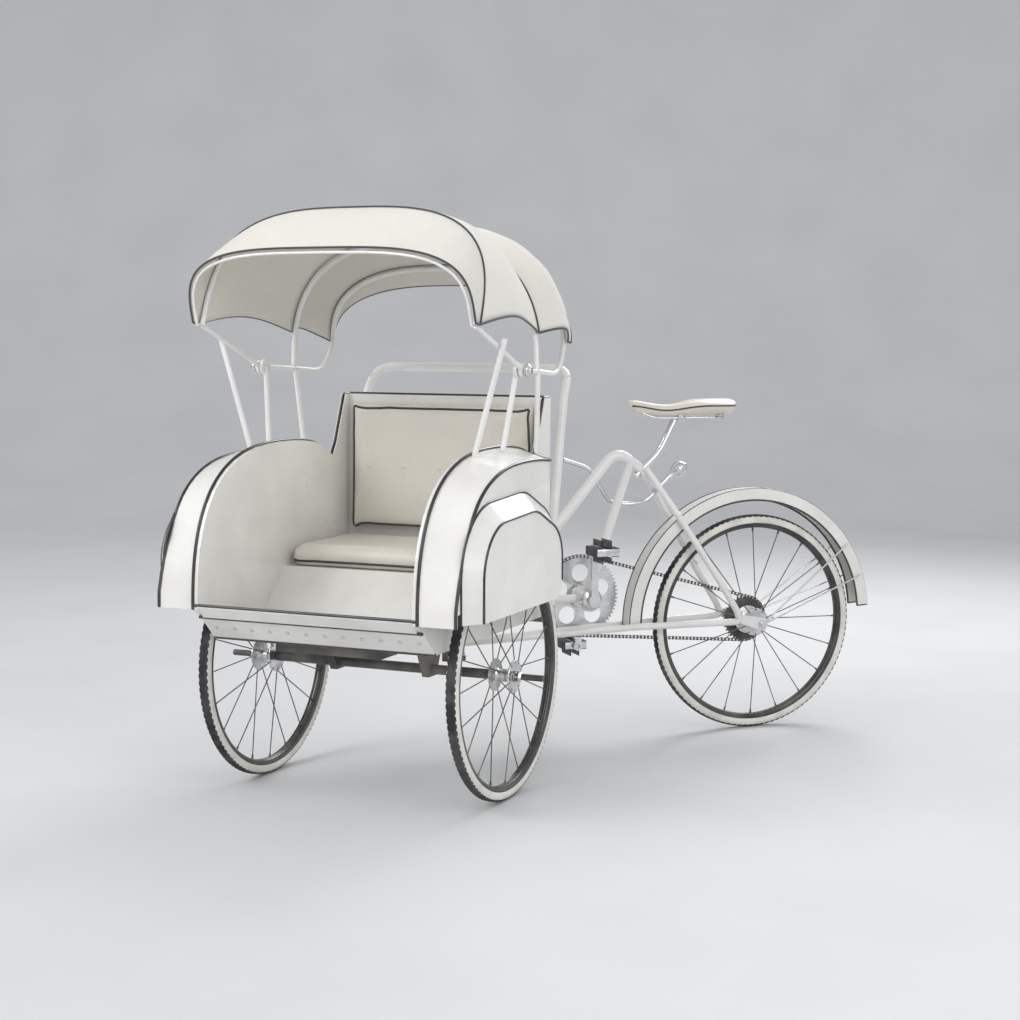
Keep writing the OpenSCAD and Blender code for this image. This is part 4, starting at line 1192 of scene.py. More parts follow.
@dataclass
class Seat:
    """The padded bench: cushion and backrest, swelled as cloth, with their piping."""

    pressure: float = 4.0
    voxel: float = 0.008
    frames: int = 20
    cap: float = 0.012
    lean: float = 0.014 / 0.652
    fill: float = 0.7
    piping_r: float = 0.0036
    button_x: float = 0.24

    def build(self, shop: Workshop) -> None:
        """Makes the two pads."""
        low, high = (np.array(p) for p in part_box("seat_cushion"))
        cushion = self.pad(shop, "bench_cushion", low + (0.006, 0.006, 0.0015),
                           high - (0.006, 0.006, 0.003), 0.026)
        self.settle_pad(shop, cushion, "seat_cushion")
        self.piping(shop, "cushion_piping", cushion, [self.frame_path(low, high, low[2] + 0.009)])
        low, high = (np.array(p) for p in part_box("backrest_pad"))
        lean = self.lean
        back = self.pad(shop, "backrest_cushion", low + (0.006, 0.001, 0.005),
                        high - (0.006, 0.014, 0.006), 0.009,
                        lambda p: np.array([p[0], p[1] + lean * (p[2] - low[2]), p[2]]))
        self.settle_pad(shop, back, "backrest_pad")
        inset = 0.010
        y = low[1] - 0.02
        x, z0, z1 = high[0] - inset - 0.006, low[2] + inset + 0.005, high[2] - inset - 0.006
        ring = rounded([(x - 0.03, y, z0), (x, y, z0), (x, y, z1), (-x, y, z1), (-x, y, z0),
                        (x - 0.03, y, z0)], 0.02, 6)
        self.piping(shop, "backrest_piping", back, [ring], (0.0, 1.0, 0.0))
        self.buttons(shop, back, y, (z0 + z1) / 2)

    @staticmethod
    def frame_path(low: np.ndarray, high: np.ndarray, z: float) -> list[np.ndarray]:
        """A rounded rectangle round a pad at one height."""
        x0, x1, y0, y1 = low[0], high[0], low[1], high[1]
        return rounded([((x0 + x1) / 2, y0, z), (x1, y0, z), (x1, y1, z), (x0, y1, z), (x0, y0, z),
                        ((x0 + x1) / 2, y0, z)], 0.03, 8)

    def pad(self, shop: Workshop, name: str, low: np.ndarray, high: np.ndarray, bevel: float,
            shear: Place | None = None) -> bpy.types.Object:
        """A block that is remeshed and swelled as cloth.

        Args:
            shop: where the piece is made.
            name: its name.
            low: the block's lowest corner.
            high: the block's highest corner.
            bevel: how far its edges are cut back.
            shear: how the block leans.

        Returns:
            The swelled pad, as a plain mesh.
        """
        block = Shell().box(low, high, bevel)
        item = shop.link((block.moved(shear) if shear else block).mesh(name, shop.finishes[Slot.VINYL], 180))
        remesh = item.modifiers.new("even", "REMESH")
        remesh.mode, remesh.voxel_size, remesh.use_smooth_shade = "VOXEL", self.voxel, True
        item = shop.baked(name, item)
        rest = np.array([v.co for v in item.data.vertices])
        cloth = item.modifiers.new("swell", "CLOTH")
        cloth.settings.use_pressure = True
        cloth.settings.uniform_pressure_force = self.pressure
        cloth.settings.effector_weights.gravity = 0.0
        cloth.settings.quality = 4
        cloth.settings.tension_stiffness = cloth.settings.compression_stiffness = 25.0
        for number in range(1, self.frames + 1):
            bpy.context.scene.frame_set(number)
        item = shop.baked(name, item)
        bpy.context.scene.frame_set(1)
        coords = np.array([v.co for v in item.data.vertices])
        move = coords - rest
        reach = np.linalg.norm(move, axis=1)
        scale = np.minimum(1.0, self.cap / np.maximum(reach, 1e-9))
        coords = rest + move * scale[:, None]
        spread = np.clip(coords, rest.min(axis=0) - (0.005, 0.005, 0.001),
                         rest.max(axis=0) + (0.005, 0.008, 0.007))
        item.data.vertices.foreach_set("co", spread.ravel())
        item.data.update()
        smooth = item.modifiers.new("smooth", "SMOOTH")
        smooth.factor, smooth.iterations = 0.5, 4
        finer = item.modifiers.new("finer", "SUBSURF")
        finer.levels = finer.render_levels = 1
        item = shop.baked(name, item)
        item.data.shade_smooth()
        item.data.materials.clear()
        item.data.materials.append(shop.finishes[Slot.VINYL])
        return item

    def settle_pad(self, shop: Workshop, item: bpy.types.Object, node: str) -> None:
        """Rides a pad on the carriage and hides the frame node that it stands for."""
        shop.settle(item, Body.CARRIAGE, Slot.VINYL, [node])

    def piping(self, shop: Workshop, name: str, pad: bpy.types.Object, paths: Sequence[Sequence[Point]],
               facing: Point | None = None) -> None:
        """Corded seams laid on a pad's surface."""
        tree = skin_of(pad)
        shell = Shell()
        for path in paths:
            laid = []
            for p in resampled(path, 0.006):
                hit = tree.ray_cast(Vector(p), Vector(facing)) if facing else tree.find_nearest(Vector(p))
                spot, normal = hit[0], hit[1]
                if spot is None:
                    spot, normal = tree.find_nearest(Vector(p))[:2]
                laid.append(np.array(spot + normal * 0.0005))
            line = np.array(laid)
            for _ in range(3):
                line[1:-1] = (line[:-2] + 2 * line[1:-1] + line[2:]) / 4
            shell.tube(line, self.piping_r, 10)
        shop.piece(name, shell, Body.CARRIAGE, Slot.VINYL, material=shop.finishes.piping)

    def buttons(self, shop: Workshop, pad: bpy.types.Object, y: float, z: float) -> None:
        """Covered buttons in one row across the backrest."""
        tree = skin_of(pad)
        shell = Shell()
        disc = Shell().lathe([(-0.003, 0.0), (-0.0028, 0.004), (-0.0015, 0.0075), (0.001, 0.0085),
                              (0.003, 0.0075)], 20)
        for x in np.linspace(-self.button_x, self.button_x, 5):
            spot = tree.ray_cast(Vector((x, y, z)), Vector((0, 1, 0)))[0]
            if spot is not None:
                shell.merge(disc, lambda p, s=spot: np.array([s.x + p[1], s.y + p[0], s.z + p[2]]))
        shop.piece("backrest_buttons", shell, Body.CARRIAGE, Slot.VINYL)


# ------------------------------------------------------------------ hood


@dataclass(frozen=True)
class Bow:
    """One bow of the hood: half width, the (y, z) of its feet and of its top, and its squareness."""

    half: float
    foot: Pair
    top: Pair
    power: float = 2.6

    def outset(self, w: float) -> "Bow":
        """The bow of a cloth that lies w outside this one."""
        return Bow(self.half + w, self.foot, (self.top[0], self.top[1] + w), self.power)

    def blend(self, other: "Bow", v: float, bulge: float) -> "Bow":
        """A section of the cloth between two bows, swelled by bulge in the middle."""
        swell = bulge * sin(pi * v)

        def between(a: float, b: float) -> float:
            return a + (b - a) * v

        return Bow(between(self.half, other.half) + 0.5 * swell,
                   (between(self.foot[0], other.foot[0]), between(self.foot[1], other.foot[1])),
                   (between(self.top[0], other.top[0]), between(self.top[1], other.top[1]) + swell),
                   between(self.power, other.power))

    def start(self, z: float) -> float:
        """The angle where the left leg reaches a height."""
        rise = max(z - self.foot[1], 0.0) / (self.top[1] - self.foot[1])
        return float(np.arcsin(min(1.0, rise ** (self.power / 2))))

    def path(self, start: float = 0.0, n: int = 64) -> list[np.ndarray]:
        """Points along the bow."""
        return superarch(self.half, self.foot, self.top, start, n, self.power)


@dataclass
class Panel:
    """One cloth of the hood between two bows, with its hems' heights, swell and scallop."""

    name: str
    node: str
    bows: tuple[Bow, Bow]
    hems: Pair
    bulge: float
    lift: float
    across: int = 88
    rows: int = 22
    skin: float = 0.0118
    thick: float = 0.0024
    trim: float = 0.003
    proud: float = 0.0008
    flat: Pair = (0.0, 0.0)
    area: float = 0.0

    def rows_of(self, out: float) -> list[list[np.ndarray]]:
        """The cloth's rows of points, out outside its own face."""
        a, b = (bow.outset(self.skin + out) for bow in self.bows)
        found = []
        for v in np.linspace(self.trim, 1 - self.trim, self.rows):
            bow = a.blend(b, v, self.bulge)
            hem = self.hems[0] + (self.hems[1] - self.hems[0]) * v + self.lift * sin(pi * v)
            row = bow.path(bow.start(hem), self.across)
            found.append(row)
        return self.creased(found)

    def creased(self, rows: list[list[np.ndarray]]) -> list[list[np.ndarray]]:
        """Adds soft pulls that run between the bows, strongest near the side hems."""
        m, n = len(rows), len(rows[0])
        for j, row in enumerate(rows):
            v = j / (m - 1)
            for i, p in enumerate(row):
                u = i / (n - 1)
                side = abs(2 * u - 1)
                depth = 0.0028 * sin(pi * v) * (0.25 + 0.75 * side ** 3)
                wave = sin(u * 57.0 + 2.2 * sin(v * 5.1 + u * 9.0)) * depth - depth
                out = np.array([p[0], 0.0, p[2] - 0.9])
                row[i] = p + out / np.linalg.norm(out) * wave
        return rows

    def build(self, shop: Workshop, body: Body | None) -> bpy.types.Object:
        """Makes the cloth with its map in metres."""
        rows = self.rows_of(0.0)
        shell = Shell().grid(rows)
        mesh = shell.mesh(self.name, shop.finishes[Slot.CANVAS], 180)
        places = np.array(rows)
        along = run_length(places[:, self.across // 2])
        over = run_length(places[self.rows // 2])
        layer = mesh.uv_layers.new(name="cloth")
        near = nearest_index(shell.points, mesh)
        at = [(over[k % len(over)], along[k // len(over)]) for k in near]
        layer.data.foreach_set("uv", np.array([at[loop.vertex_index] for loop in mesh.loops]).ravel())
        item = shop.link(mesh)
        centre = Vector((0, float(places[..., 1].mean()), 0.95))
        outward = sum((p.center - centre).dot(p.normal) for p in mesh.polygons)
        if outward < 0:
            mesh.flip_normals()
        wall = item.modifiers.new("thickness", "SOLIDIFY")
        wall.thickness, wall.offset = self.thick, -1.0
        item = shop.baked(self.name, item)
        shop.settle(item, body, Slot.CANVAS, [self.node])
        self.flat = (float(over[-1]), float(along[-1]))
        self.area = sum(p.area for p in item.data.polygons) / 2
        return item

    def hem_path(self, side: int) -> list[np.ndarray]:
        """The side hem's line."""
        rows = self.rows_of(self.proud)
        return [row[0] if side > 0 else row[-1] for row in rows]

    def edge_path(self, last: bool) -> list[np.ndarray]:
        """The line along one bow."""
        return self.rows_of(self.proud)[-1 if last else 0]


@dataclass
class Hood:
    """The folding hood: bows, cloths, bindings, stays and the pivots' knobs."""

    crest: Bow = Bow(0.425, (-0.266, 0.980), (-0.150, 1.292), 3.1)
    visor: Bow = Bow(0.425, (-0.290, 0.980), (-0.350, 1.175), 3.6)
    middle: Bow = Bow(0.401, (0.191, 0.848), (0.191, 1.218))
    rear: Bow = Bow(0.391, (0.414, 0.920), (0.405, 1.147))
    valance: Bow = Bow(0.391, (0.438, 0.920), (0.455, 1.085))
    boss: Pair = (0.039, 0.856)
    knob_x: float = 0.437
    hems: tuple[float, ...] = (0.988, 0.984, 0.957, 0.928, 0.926)
    tape: float = 0.0032
    fold_from: Triple = (0.0, -0.150, 1.1)
    fold_to: Triple = (0.0, 0.186, 1.1)

    def build(self, shop: Workshop) -> None:
        """Makes the hood."""
        for node in ("hood_stays_left", "hood_stays_right"):
            dress(node, shop.finishes[Slot.FRAME])
        shop.smooth_copy("hood_rear_bows", "hood_rear_frame", Body.CARRIAGE, Slot.FRAME)
        shop.smooth_copy("hood_front_bows", "hood_front_frame", Body.HOOD_FRONT, Slot.FRAME)
        self.cloths(shop)
        self.knobs(shop)

    def cloths(self, shop: Workshop) -> None:
        """The four cloths with their bindings."""
        bows = (self.visor, self.crest, self.middle, self.rear, self.valance)
        cloths = (
            ("visor_cloth", "hood_visor", 0.006, 0.0, 22, Body.HOOD_FRONT, (False, True)),
            ("top_cloth", "hood_top", 0.028, 0.034, 22, None, ()),
            ("rear_cloth", "hood_rear_panel", 0.078, 0.026, 22, Body.CARRIAGE, (False, True)),
            ("back_valance_cloth", "hood_back_valance", 0.012, 0.0, 10, Body.CARRIAGE, (True,)),
        )
        for k, (name, node, bulge, lift, rows, body, bound) in enumerate(cloths):
            panel = Panel(name, node, bows[k:k + 2], self.hems[k:k + 2], bulge, lift, rows=rows)
            item = panel.build(shop, body)
            tape = Shell()
            for side in (1, -1):
                tape.tube(resampled(panel.hem_path(side), 0.01), self.tape, 8)
            for last in bound:
                tape.tube(resampled(panel.edge_path(last), 0.012), self.tape, 8)
            trim = shop.link(tape.mesh(f"{panel.name}_binding", shop.finishes.binding))
            shop.settle(trim, body, Slot.CANVAS)
            if body is None:
                for cloth in (item, trim):
                    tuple(self.fold_from)
                    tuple(self.fold_to)
                    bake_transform(cloth)
            min(panel.area, panel.flat[0] * panel.flat[1])
            LOG.info("%s is cut %.2f by %.2f m, %.3f m2", item.name, *panel.flat, panel.area)

    def knobs(self, shop: Workshop) -> None:
        """Turned knobs on the hood's pivots."""
        knob = Shell().lathe([(0.0, 0.0), (0.0, 0.017), (0.002, 0.0185), (0.006, 0.0185),
                              (0.008, 0.017), (0.010, 0.012), (0.013, 0.011), (0.016, 0.009),
                              (0.017, 0.0)], 32)
        shell = Shell()
        for side in (1, -1):
            shell.merge(knob, lambda p, s=side: np.array([s * (self.knob_x + p[0]),
                                                          self.boss[0] + p[1], self.boss[1] + p[2]]))
        shop.piece("pivot_knobs", shell, Body.CARRIAGE, Slot.BRIGHT)


# ------------------------------------------------------------------ chassis and rail


@dataclass
class Undercarriage:
    """The axle, the chassis and the push rail, with their bolts."""

    rail_x: float = 0.150
    pin_y: float = 0.489
    nut_at: float = 0.4215
    hanger_half: float = 0.011
    bolts_at: tuple[Pair, ...] = ((-0.043, 0.062), (0.043, 0.062), (0.0, 0.058))
    leg_at: Pair = (0.340, 0.430)

    def build(self, shop: Workshop) -> None:
        """Dresses the nodes and adds bolts, collars and caps."""
        for node in ("front_axle", "chassis"):
            dress(node, shop.finishes[Slot.DARK])
        shop.smooth_copy("push_rail_tube", "push_rail", Body.CARRIAGE, Slot.FRAME)
        self.bolts(shop)
        self.rail_trim(shop)

    def bolts(self, shop: Workshop) -> None:
        """Hexagon bolts through the hangers, and domed nuts on the axle's ends."""
        bolt = Shell().lathe([(0.0, 0.0), (0.0, 0.0085), (0.0045, 0.0085), (0.0055, 0.0075),
                              (0.0055, 0.0)], 6)
        bolt.lathe([(-0.0002, 0.0), (-0.0002, 0.0105), (0.0012, 0.0105), (0.0012, 0.0)], 24)
        shell = Shell()
        for side in (1, -1):
            for face in (1, -1):
                for y, z in self.bolts_at:
                    shell.merge(bolt, lambda p, s=side, f=face, y=y, z=z: np.array(
                        [s * self.rail_x + f * (self.hanger_half + p[0]), y + p[1], z + p[2]]))
        shop.piece("hanger_bolts", shell, Body.CARRIAGE, Slot.BRIGHT, sharp=30)
        ends = Shell()
        cap = Shell().lathe([(0.0, 0.0), (0.0, 0.0142), (0.002, 0.0148), (0.010, 0.0148),
                             (0.012, 0.0135), (0.016, 0.0105), (0.018, 0.0095), (0.0185, 0.0)], 6)
        washer = Shell().lathe([(-0.0025, 0.0), (-0.0025, 0.0165), (0.0, 0.0165), (0.0, 0.0)], 32)
        for side in (1, -1):
            for part in (cap, washer):
                ends.merge(part, lambda p, s=side: np.array([s * (self.nut_at + 0.0015 + p[0]), p[1], p[2]]))
        shop.piece("axle_nuts", ends, Body.CARRIAGE, Slot.BRIGHT, sharp=30)

    def rail_trim(self, shop: Workshop) -> None:
        """Clamps where the rail's legs meet the cross tube, and the steering pin's cap."""
        shell = Shell()
        for side in (1, -1):
            collar = [(side * self.leg_at[0], self.leg_at[1], z) for z in (0.112, 0.114, 0.132, 0.134)]
            shell.tube(collar, [0.0155, 0.0175, 0.0175, 0.0155], 24)
        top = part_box("chassis")[1][2]
        shell.tube([(0, self.pin_y, top - 0.001), (0, self.pin_y, top + 0.004), (0, self.pin_y, top + 0.006)],
                   [0.013, 0.012, 0.006], 24)
        shop.piece("rail_collars", shell, Body.CARRIAGE, Slot.BRIGHT)


# ------------------------------------------------------------------ rear half


@dataclass
class RearFrame:
    """The rear half's tubes with their cups, and the mudguard with its rolled edges."""

    guard_r: float = 0.434
    guard_at: Pair = (1.009, 0.008)
    guard_half: float = 0.032
    guard_deep: float = 0.038
    guard_wall: float = 0.0015
    guard_turn: float = 176.0
    crank: Triple = (0.0, 0.435, 0.105)

    def build(self, shop: Workshop) -> None:
        """Makes the frame's pieces."""
        shop.smooth_copy("main_frame", "rear_frame", Body.REAR_HALF, Slot.FRAME)
        shop.smooth_copy("wheel_stays", "stay_loop", Body.REAR_HALF, Slot.FRAME)
        shop.smooth_copy("seat_pillar", "seat_post", Body.REAR_HALF, Slot.BRIGHT)
        dress("rear_mudguard", shop.finishes[Slot.BODY])
        for node in ("rear_spindle", "mudguard_wires"):
            dress(node, shop.finishes[Slot.BRIGHT])
        self.cups(shop)
        self.guard_trim(shop)

    def cups(self, shop: Workshop) -> None:
        """Cups on the head tube and on the crank's shell."""
        head = Shell()
        for z0, z1 in ((-0.053, -0.045), (0.075, 0.083)):
            head.tube([REAR((0, 0, z)) for z in (z0, z0 + 0.0015, z1 - 0.0015, z1)],
                      [0.0252, 0.0272, 0.0272, 0.0252], 40)
        shop.piece("head_cups", head, Body.REAR_HALF, Slot.BRIGHT)
        rings = Shell()
        for x0, x1 in ((0.030, 0.0405), (-0.0405, -0.030)):
            rings.tube([REAR((x, self.crank[1], self.crank[2])) for x in (x0, x0 + 0.002, x1 - 0.002, x1)],
                       [0.0372, 0.0384, 0.0384, 0.0360], 40)
        shop.piece("bracket_cups", rings, Body.REAR_HALF, Slot.BRIGHT)

    def guard_trim(self, shop: Workshop) -> None:
        """Rolled edges on the mudguard and beads where its crown turns down."""
        shell = Shell()
        turns = np.linspace(0, radians(self.guard_turn), 90)

        def place(x: float, r: float, a: float) -> np.ndarray:
            return REAR((x, self.guard_at[0] - r * cos(a), self.guard_at[1] + r * sin(a)))

        inner = self.guard_r - self.guard_deep
        side, crown = self.guard_half - self.guard_wall, self.guard_r - self.guard_wall
        for x in (side, -side):
            shell.tube([place(x, inner, a) for a in turns], 0.0034, 10)
        for x in (self.guard_half - 0.003, -self.guard_half + 0.003):
            shell.tube([place(x, self.guard_r - 0.001, a) for a in turns], 0.0030, 10)
        for a in (turns[0], turns[-1]):
            edge = [(-side, inner), (-side, crown), (side, crown), (side, inner)]
            shell.tube([place(x, r, a) for x, r in edge], 0.0030, 10)
        shop.piece("mudguard_beads", shell, Body.REAR_HALF, Slot.TRIM)


@dataclass
class Drivetrain:
    """Chain, chainring and sprocket teeth, and the two pedals."""

    axle_y: float = REAR_BASE
    crank_y: float = 0.435
    crank_z: float = 0.105
    ring_r: float = 0.129
    sprocket_r: float = 0.073
    chain_x: float = -0.055
    pitch: float = 0.0254
    crank_l: float = 0.168
    pedal_in: float = 0.083
    pedal_w: float = 0.104
    pedal_half: float = 0.039
    pedal_t: float = 0.028
    block_y: float = 0.0265

    def build(self, shop: Workshop) -> None:
        """Makes the drivetrain's pieces."""
        dress("crankset", shop.finishes[Slot.BRIGHT])
        dress("rear_sprocket", shop.finishes[Slot.DARK])
        self.chain(shop)
        self.teeth(shop, "chainring_teeth", self.crank_y, self.crank_z, self.ring_r, 64, Body.CRANK,
                   Slot.BRIGHT)
        self.teeth(shop, "sprocket_teeth", self.axle_y, 0.0, self.sprocket_r, 36, Body.REAR_WHEEL, Slot.DARK)
        for side, body, node in ((1, Body.LEFT_PEDAL, "left_pedal"), (-1, Body.RIGHT_PEDAL, "right_pedal")):
            self.pedal(shop, side, body, node)

    def chain_path(self) -> list[np.ndarray]:
        """The chain's pitch line round the two toothed wheels, in the rear half's own place."""
        a, b = np.array([self.crank_y, self.crank_z]), np.array([self.axle_y, 0.0])
        gap = b - a
        reach = hypot(*gap)
        base = atan2(gap[1], gap[0])
        lean = acos((self.ring_r - self.sprocket_r) / reach)
        big = [a + self.ring_r * np.array([cos(t), sin(t)])
               for t in np.linspace(base + lean, base + 2 * pi - lean, 60)]
        small = [b + self.sprocket_r * np.array([cos(t), sin(t)])
                 for t in np.linspace(base - lean, base + lean, 30)]
        return [np.array([self.chain_x, y, z]) for y, z in big + small]

    def chain(self, shop: Workshop) -> None:
        """Roller links, an inner and an outer one at each step."""
        path = self.chain_path()
        reach = float(np.linalg.norm(np.diff(np.array(path + [path[0]]), axis=0), axis=1).sum())
        pitch = reach / round(reach / self.pitch)
        part = Shell()
        for shift, x in ((0.0, 0.0042), (pitch / 2, 0.0028)):
            for side in (1, -1):
                ends = []
                for t in np.linspace(0, 2 * pi, 16, endpoint=False):
                    along = pitch / 4 * (1 if cos(t) >= 0 else -1) + 0.0042 * cos(t)
                    ends.append((0.0044 * sin(t), along + shift))
                rows = [[(side * w, u, v) for u, v in ends] for w in (x - 0.0006, x + 0.0006)]
                part.grid(rows, ring=True)
                base = len(part.points) - 32
                part.faces += [tuple(base + i for i in range(16)),
                               tuple(base + 16 + i for i in reversed(range(16)))]
        for v in (pitch / 4, -pitch / 4):
            part.tube([(-0.0050, 0, v), (0.0050, 0, v)], 0.0034, 10)
        host = path_host([REAR(p) for p in path], closed=True)
        shop.repeated("roller_chain", part.moved(self.to_path_axes), shop.path_tree, host,
                      {"Spacing": pitch}, None, Body.REAR_HALF, Slot.CHAIN, ["chain"], sharp=30)

    @staticmethod
    def to_path_axes(p: np.ndarray) -> np.ndarray:
        """Turns a link so that its Z runs along the path and its X lies across the loop's plane."""
        return np.array([p[1], p[0], p[2]])

    def teeth(self, shop: Workshop, name: str, y: float, z: float, radius: float, count: int, body: Body,
              slot: Slot) -> None:
        """A ring of pointed teeth on a toothed wheel's edge."""
        half = 0.0013
        width = pi * radius / count
        low, high = radius - 0.0085, radius + 0.0028
        part = Shell()
        outline = [(-width, low), (-width, radius - 0.0045), (-width * 0.55, radius - 0.003),
                   (-width * 0.28, high), (width * 0.28, high), (width * 0.55, radius - 0.003),
                   (width, radius - 0.0045), (width, low)]
        rows = [[(x, u, r) for u, r in outline] for x in (-half, half)]
        part.grid(rows, ring=True)
        part.faces += [tuple(range(8)), tuple(8 + i for i in reversed(range(8)))]

        def place(p: np.ndarray) -> np.ndarray:
            return REAR((self.chain_x + p[0], y + p[1], z + p[2]))

        shop.repeated(name, part, shop.round_tree, Shell(), {"Count": count}, place, body, slot, sharp=30)

    def pedal(self, shop: Workshop, side: int, body: Body, node: str) -> None:
        """A rubber-block pedal on its spindle."""
        centre_z = self.crank_z + side * self.crank_l
        x0 = self.pedal_in

        def place(p: np.ndarray) -> np.ndarray:
            return REAR((side * (x0 + p[0]), self.crank_y + p[1], centre_z + p[2]))

        deep, block = self.pedal_half, self.pedal_t / 2
        rows = (-self.block_y, self.block_y)
        steel = Shell()
        for x in (0.002, self.pedal_w - 0.005):
            steel.box((x, 0.002 - deep, -0.011), (x + 0.003, deep - 0.002, 0.011), 0.0012)
        steel.tube([(-0.012, 0, 0), (0.004, 0, 0), (0.006, 0, 0), (self.pedal_w - 0.006, 0, 0),
                    (self.pedal_w - 0.004, 0, 0), (self.pedal_w + 0.0005, 0, 0)],
                   [0.0062, 0.0062, 0.0090, 0.0090, 0.0075, 0.0060], 20)
        for y in rows:
            steel.tube([(0.001, y, 0), (self.pedal_w - 0.001, y, 0)], 0.0028, 12)
        shop.piece(f"{node}_cage", steel.moved(place), body, Slot.BRIGHT, [node])
        blocks = Shell()
        for y in rows:
            blocks.box((0.0056, y - 0.0125, -block), (self.pedal_w - 0.0056, y + 0.0125, block), 0.003)
        shop.piece(f"{node}_blocks", blocks.moved(place), body, Slot.RUBBER)
        part = Shell()
        for y in rows:
            for z in (-block, block):
                part.box((y - 0.010, z - 0.0010, -0.0022), (y + 0.010, z + 0.0010, 0.0022), 0.0007)
        host = path_host([(0.013, 0, 0), (self.pedal_w - 0.013, 0, 0)])
        shop.repeated(f"{node}_ribs", part.moved(lambda p: np.array([p[1], p[0], p[2]])),
                      shop.path_tree, host, {"Spacing": 0.0083}, place, body, Slot.RUBBER)


@dataclass
class Saddle:
    """A sprung saddle: a leather top, a frame of two rails, coil springs and a clamp."""

    tail_y: float = 0.929
    length: float = 0.356
    top: float = 0.740
    clamp_y: float = 0.750
    rail_drop: float = 0.062
    coil_in: float = 0.060
    coil_x: float = 0.066
    coil_r: float = 0.0125
    coil_turns: float = 4.5
    ring: int = 48

    def outline(self, t: float) -> tuple[float, float, float, float]:
        """Half width, crown height, skirt depth and dip at a share of the length from the nose."""
        flare = 1 / (1 + np.exp(-(t - 0.60) * 13))
        half = 0.020 + 0.080 * flare
        end = min(1.0, (t / 0.07) ** 0.5) if t < 0.07 else 1.0
        tail = (max(0.0, 1 - ((t - 0.90) / 0.10) ** 2)) ** 0.5 if t > 0.90 else 1.0
        crown = -0.016 * sin(pi * min(1.0, t / 0.75)) ** 2 * (1 - flare * 0.5)
        skirt = 0.040 + 0.024 * flare
        return half * end * (0.55 + 0.45 * tail), crown, skirt * (0.5 + 0.5 * end * tail), end * tail

    def along(self, t: float) -> float:
        """The place along the saddle at a share of its length from the nose."""
        return self.tail_y - self.length + 0.004 + t * (self.length - 0.008)

    def build(self, shop: Workshop) -> None:
        """Makes the saddle's top, its seam and its springs."""
        shell = Shell()
        rows = []
        for t in np.concatenate([np.linspace(0, 0.08, 8), np.linspace(0.1, 0.9, 26),
                                 np.linspace(0.915, 1.0, 9)]):
            half, crown, skirt, end = self.outline(float(t))
            half = max(half, 0.0015)
            row = []
            for a in np.linspace(0, 2 * pi, self.ring, endpoint=False):
                x = half * np.sign(cos(a)) * abs(cos(a)) ** 0.75
                lift = sin(a)
                z = -0.018 * (1 - lift) if lift >= 0 else -0.018 + skirt * 0.62 * lift
                z = z * (0.35 + 0.65 * end)
                row.append((x, self.along(t), self.top - 0.004 + crown + z))
            rows.append(row)
        shell.grid(rows, ring=True)
        base = len(shell.points) - self.ring
        shell.faces += [tuple(reversed(range(self.ring))), tuple(base + i for i in range(self.ring))]
        item = shop.link(shell.moved(REAR).mesh("saddle_top", shop.finishes[Slot.SADDLE], 180))
        finer = item.modifiers.new("finer", "SUBSURF")
        finer.levels = finer.render_levels = 1
        item = shop.baked("saddle_top", item)
        shop.settle(item, Body.REAR_HALF, Slot.SADDLE, ["saddle"])
        seam = []
        for t in np.linspace(0.03, 0.97, 70):
            half, crown = self.outline(float(t))[:2]
            seam.append((half, self.along(t), self.top - 0.022 + crown))
        loop = seam + [(-x, y, z) for x, y, z in reversed(seam)]
        edge = Shell().tube([REAR(p) for p in loop], 0.0026, 8, closed=True)
        shop.piece("saddle_seam", edge, Body.REAR_HALF, Slot.SADDLE, material=shop.finishes.piping)
        self.springs(shop)

    def springs(self, shop: Workshop) -> None:
        """Two rails, two rear coils and a clamp on the pillar."""
        shell = Shell()
        nose = self.tail_y - self.length
        low = self.top - self.rail_drop
        back = self.tail_y - self.coil_in
        for s in (1, -1):
            rail = rounded([(s * 0.010, nose + 0.040, self.top - 0.040), (s * 0.022, nose + 0.085, low),
                            (s * 0.030, nose + 0.190, low), (s * self.coil_x, back, low + 0.002)], 0.03, 6)
            shell.tube([REAR(p) for p in rail], 0.0036, 10)
            coil = []
            for t in np.linspace(0, 1, 84):
                a = 2 * pi * self.coil_turns * t
                x, y = s * self.coil_x + self.coil_r * cos(a), back + self.coil_r * sin(a)
                coil.append(REAR((x, y, low - 0.004 + 0.030 * t)))
            shell.tube(coil, 0.0024, 8)
        block = Shell()
        block.tube([(x, self.clamp_y, low) for x in (-0.038, -0.036, 0.036, 0.038)],
                   [0.009, 0.013, 0.013, 0.009], 20)
        block.tube([(-0.046, self.clamp_y, low), (0.046, self.clamp_y, low)], 0.005, 6)
        shell.merge(block, REAR)
        shop.piece("saddle_springs", shell, Body.REAR_HALF, Slot.BRIGHT)


